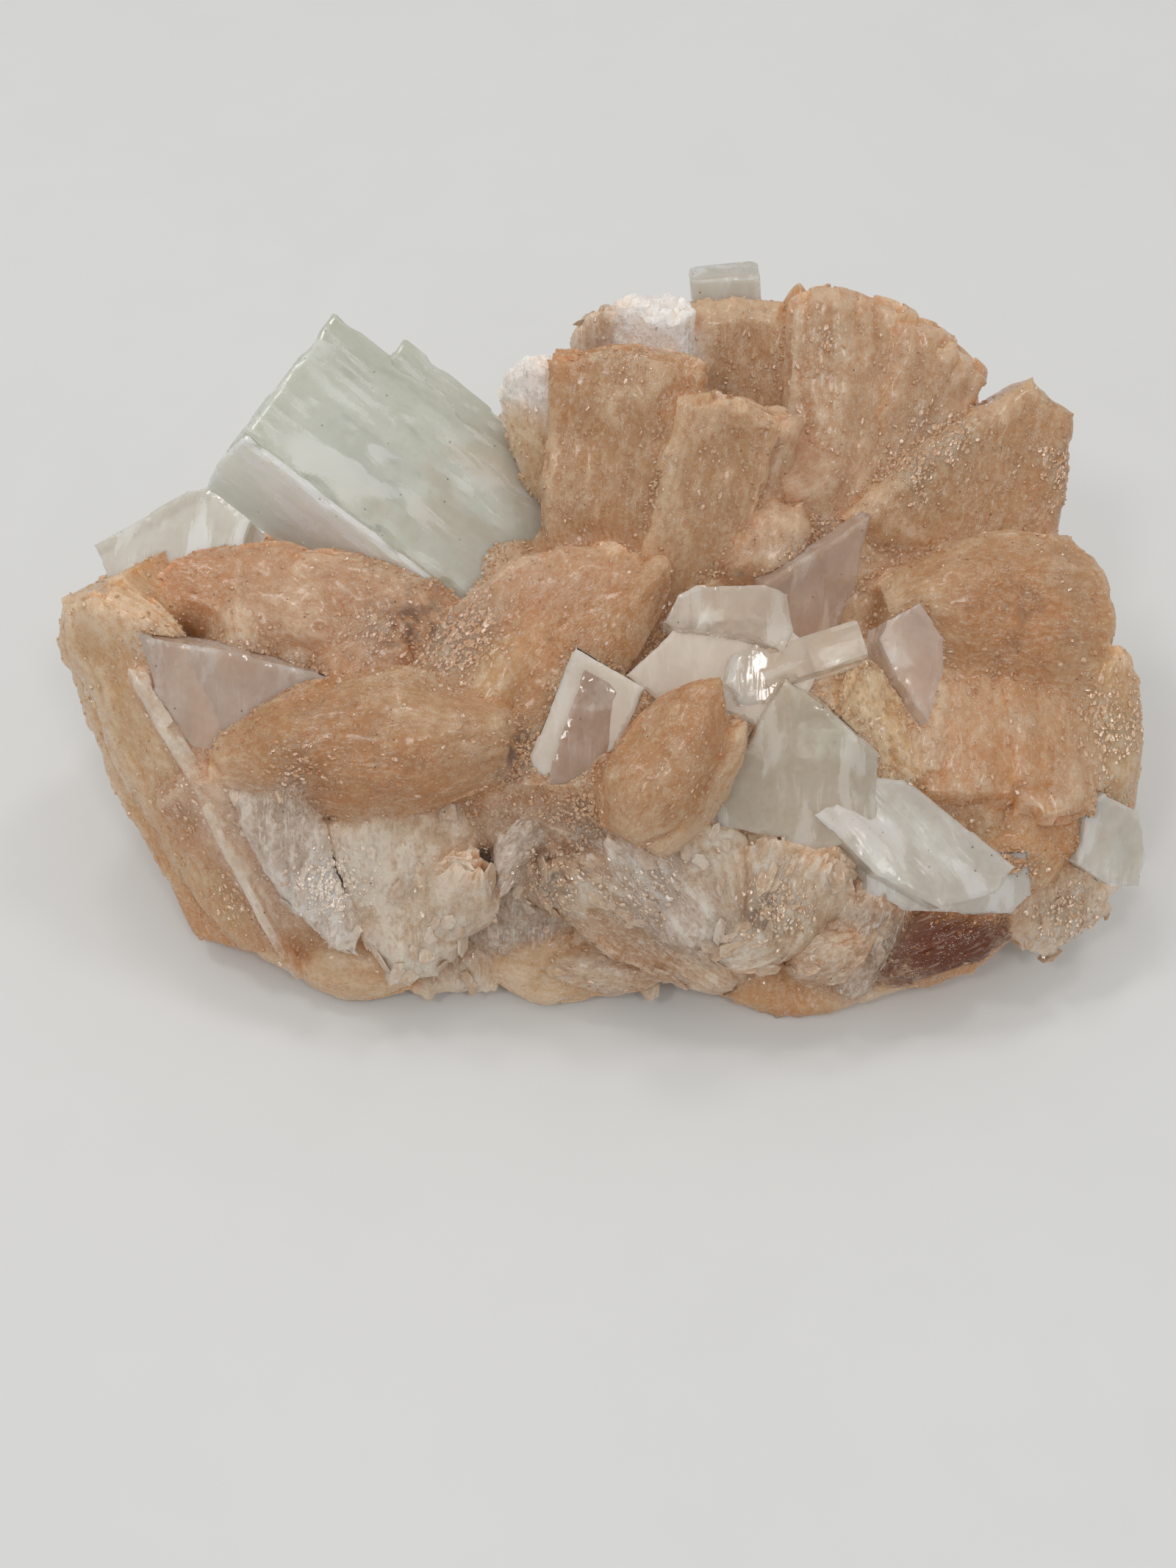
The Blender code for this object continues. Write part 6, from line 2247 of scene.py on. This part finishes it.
    def finish(
        self, mass: StilbiteMass, points: np.ndarray, form: np.ndarray, hosts: np.ndarray, draws: np.random.Generator
    ) -> bpy.types.Object:
        """Makes the mesh, in the colours of the places that the crystals stand on."""
        here = np.arange(self.sides)
        after = np.roll(here, -1)
        rings = [here[::-1].tolist(), (here + self.sides).tolist()]
        rings += np.stack((here, after, after + self.sides, here + self.sides), 1).tolist()
        corners = 2 * self.sides
        faces = [[corner + number * corners for corner in face] for number in range(self.count) for face in rings]
        mesh = bpy.data.meshes.new(self.name)
        mesh.from_pydata((points.reshape(-1, 3) * MM).tolist(), [], faces)
        away = draws.uniform(0, 80, (self.count, 1, 3))
        write_values(mesh, "grain", (form + away).reshape(-1, 3))
        own = STILBITE_FINISHES[self.look]
        for name in COLOUR_NAMES:
            own_part = self.own_colour * np.array(getattr(own, name))
            colours = (1 - self.own_colour) * mass.colours[name][hosts] + own_part
            write_values(mesh, name, np.repeat(colours, corners, axis=0))
        warmth = mass.warmth[hosts] + draws.normal(0, 0.3, self.count)
        write_values(mesh, "warmth", np.repeat(warmth, corners))
        write_values(mesh, "soil", np.repeat(0.8 * mass.soil[hosts], corners))
        mesh.materials.append(mass.materials[self.look])
        return finish_object(self.name, mesh, ())


def unit_rows(rows: np.ndarray) -> np.ndarray:
    """Each row scaled to a length of one."""
    return rows / np.linalg.norm(rows, axis=1, keepdims=True)


# The height that small crystals start from, in design millimetres
CRUST_FOOT = 3.0
SHEAF_LOOKS = (TAN, PEACH, PINK, FLUTED, AMBER, CORE)
GLINT_ZONES = (
    Zone((-9.5, -7.8, 25.0), 2.8, 30), Zone((-11.7, -9.2, 24.1), 2.6, 18), Zone((-16.8, -7.1, 24.2), 2.6, 12),
    Zone((27.7, 8.4, 29.1), 2.4, 25), Zone((24.8, 6.3, 28.0), 2.2, 25), Zone((36.3, 7.9, 26.3), 2.0, 25),
    Zone((40.1, -11.4, 18.8), 3.0, 20), Zone((4.5, 12.7, 37.3), 2.4, 14), Zone((-5.6, 10.5, 33.9), 2.2, 14),
    Zone((-20.2, -22.2, 12.7), 2.6, 40), Zone((17.7, 13.6, 34.7), 1.8, 12), Zone((2.2, 8.0, 37.4), 1.8, 12),
    Zone((36.4, -21.4, 7.2), 2.4, 25), Zone((3.8, -23.6, 13.8), 2.4, 25),
    Zone((13.8, -24.8, 12.5), 2.4, 25), Zone((-2.8, -22.9, 13.7), 2.4, 25), Zone((-9.1, -17.8, 24.5), 2.0, 10),
    Zone((-22.3, -18.1, 21.3), 2.2, 14), Zone((-31.4, -17.8, 16.2), 2.2, 12), Zone((-28.1, -21.6, 8.6), 2.2, 12),
)
CRUSTS = (
    Crust(
        "sugar_crust", SUGAR, SHEAF_LOOKS, count=15000, length=(0.20, 0.50), slimness=0.7, height=0.16,
        sides=4, lean=0.35, twist=0.8, plenty=0.12, seams=6.0, sink=0.4, own_colour=0.30, rims=7.0,
    ),
    Crust(
        "glints", SUGAR, (*SHEAF_LOOKS, PALE, SILVER), count=5000, length=(0.25, 0.80),
        slimness=0.5, height=0.10, sides=6, lean=0.06, twist=0.4, plenty=0.25, seams=0.0, zones=GLINT_ZONES,
        own_colour=0.35, facing=(25.0, -144.0, 210.0),
    ),
    Crust(
        "flakes", FLAKE, (PALE, SILVER), count=200, length=(1.4, 3.8), slimness=0.45, height=0.10,
        sides=6, lean=0.08, twist=0.30, plenty=1.0, seams=0.0, sink=0.62, own_colour=0.15,
    ),
)


@dataclass
class Studio:
    """A plain pale floor, soft light and the camera that took the photograph."""

    floor_side: float = 3.0
    floor_drop: float = 0.00005
    floor_colour: Colour = (0.785, 0.785, 0.775)
    horizon: Colour = (0.37, 0.375, 0.38)
    zenith: Colour = (0.58, 0.58, 0.57)
    lamps: tuple[tuple[Point, float], ...] = (
        ((-0.20, 0.10, 0.42), 0.18), ((-0.06, 0.20, 0.44), 0.17), ((0.14, 0.12, 0.44), 0.145),
        ((-0.16, -0.22, 0.40), 0.20), ((0.10, -0.26, 0.42), 0.22),
    )
    lamp_side: float = 0.06
    camera_place: Point = (-0.000605, -0.103936, 0.137861)
    camera_pitch: float = math.radians(36)
    lens: float = 45.0

    def build(self, effects: Effects) -> None:
        """Sets up the floor, the light and the camera."""
        mesh = bpy.data.meshes.new("floor")
        half = self.floor_side / 2
        corners = [(x * half, y * half, -self.floor_drop) for x, y in ((-1, -1), (1, -1), (1, 1), (-1, 1))]
        mesh.from_pydata(corners, [], [(0, 1, 2, 3)])
        floor = bpy.data.objects.new("floor", mesh)
        bpy.context.scene.collection.objects.link(floor)
        mesh.materials.append(self.floor_material(effects))

        world = bpy.data.worlds.new("studio")
        world.use_nodes = True
        background = world.node_tree.nodes["Background"]
        wiring = Wiring(world.node_tree)
        split = wiring.node("ShaderNodeSeparateXYZ", Vector=wiring.node("ShaderNodeTexCoord").outputs["Generated"])
        share = wiring.ramp(split.outputs["Z"], -0.1, 1.0)
        wiring.feed(background.inputs["Color"], wiring.mix(share, self.horizon, self.zenith))
        scene = bpy.context.scene
        scene.world = world
        for number, (place, power) in enumerate(self.lamps):
            self.add_lamp(f"lamp_{number}", place, power)
        camera = bpy.data.cameras.new("camera")
        camera.lens = self.lens
        camera.sensor_width = 36.0
        camera.clip_start = 0.01
        held = bpy.data.objects.new("camera", camera)
        held.location = self.camera_place
        held.rotation_euler = (self.camera_pitch, 0, 0)
        scene.collection.objects.link(held)
        scene.camera = held
        scene.view_settings.view_transform = "Standard"

    def floor_material(self, effects: Effects) -> bpy.types.Material:
        """Matt paper with the faintest mottle."""
        material, wiring, surface = new_material("floor")
        clouds = place_effect(wiring, effects.mottle, Spot=spot_in_mm(wiring), Size=30.0).outputs["Value"]
        darker = tuple(share * 0.985 for share in self.floor_colour)
        wiring.feed(surface.inputs["Base Color"], wiring.mix(clouds, self.floor_colour, darker))
        surface.inputs["Roughness"].default_value = 0.9
        return material

    def add_lamp(self, name: str, place: Point, power: float) -> None:
        """Adds a small square ceiling lamp that looks at the middle of the cluster."""
        light = bpy.data.lights.new(name, "AREA")
        light.energy = power
        light.size = self.lamp_side
        held = bpy.data.objects.new(name, light)
        held.location = place
        held.rotation_euler = (Vector((0, 0, 0.015)) - Vector(place)).to_track_quat("-Z", "Y").to_euler()
        bpy.context.scene.collection.objects.link(held)


def main() -> None:
    """Builds the cluster and its studio."""
    logging.basicConfig(level=logging.INFO, format="%(message)s")
    noise.seed_set(NOISE_SEED)
    effects = Effects.build()
    workshop = Workshop()
    looks = {look: finish.material(look.value, effects) for look, finish in STILBITE_FINISHES.items()}
    mass = StilbiteMass(workshop, looks)
    mass.build([skin for group in CRYSTAL_GROUPS for skin in group.sockets()])
    for seed, crust in enumerate(CRUSTS, CRUST_SEED):
        crust.build(mass, seed)
    seed = CRYSTAL_SEED
    gems = {gem: finish.material(gem.value, effects) for gem, finish in CRYSTAL_FINISHES.items()}
    veil = veil_material(effects)
    for group in CRYSTAL_GROUPS:
        group.build(workshop, gems, seed)
        group.veils(veil, seed)
        seed += len(group.crystals)
    workshop.close()
    Studio().build(effects)


if __name__ == "__main__":
    main()
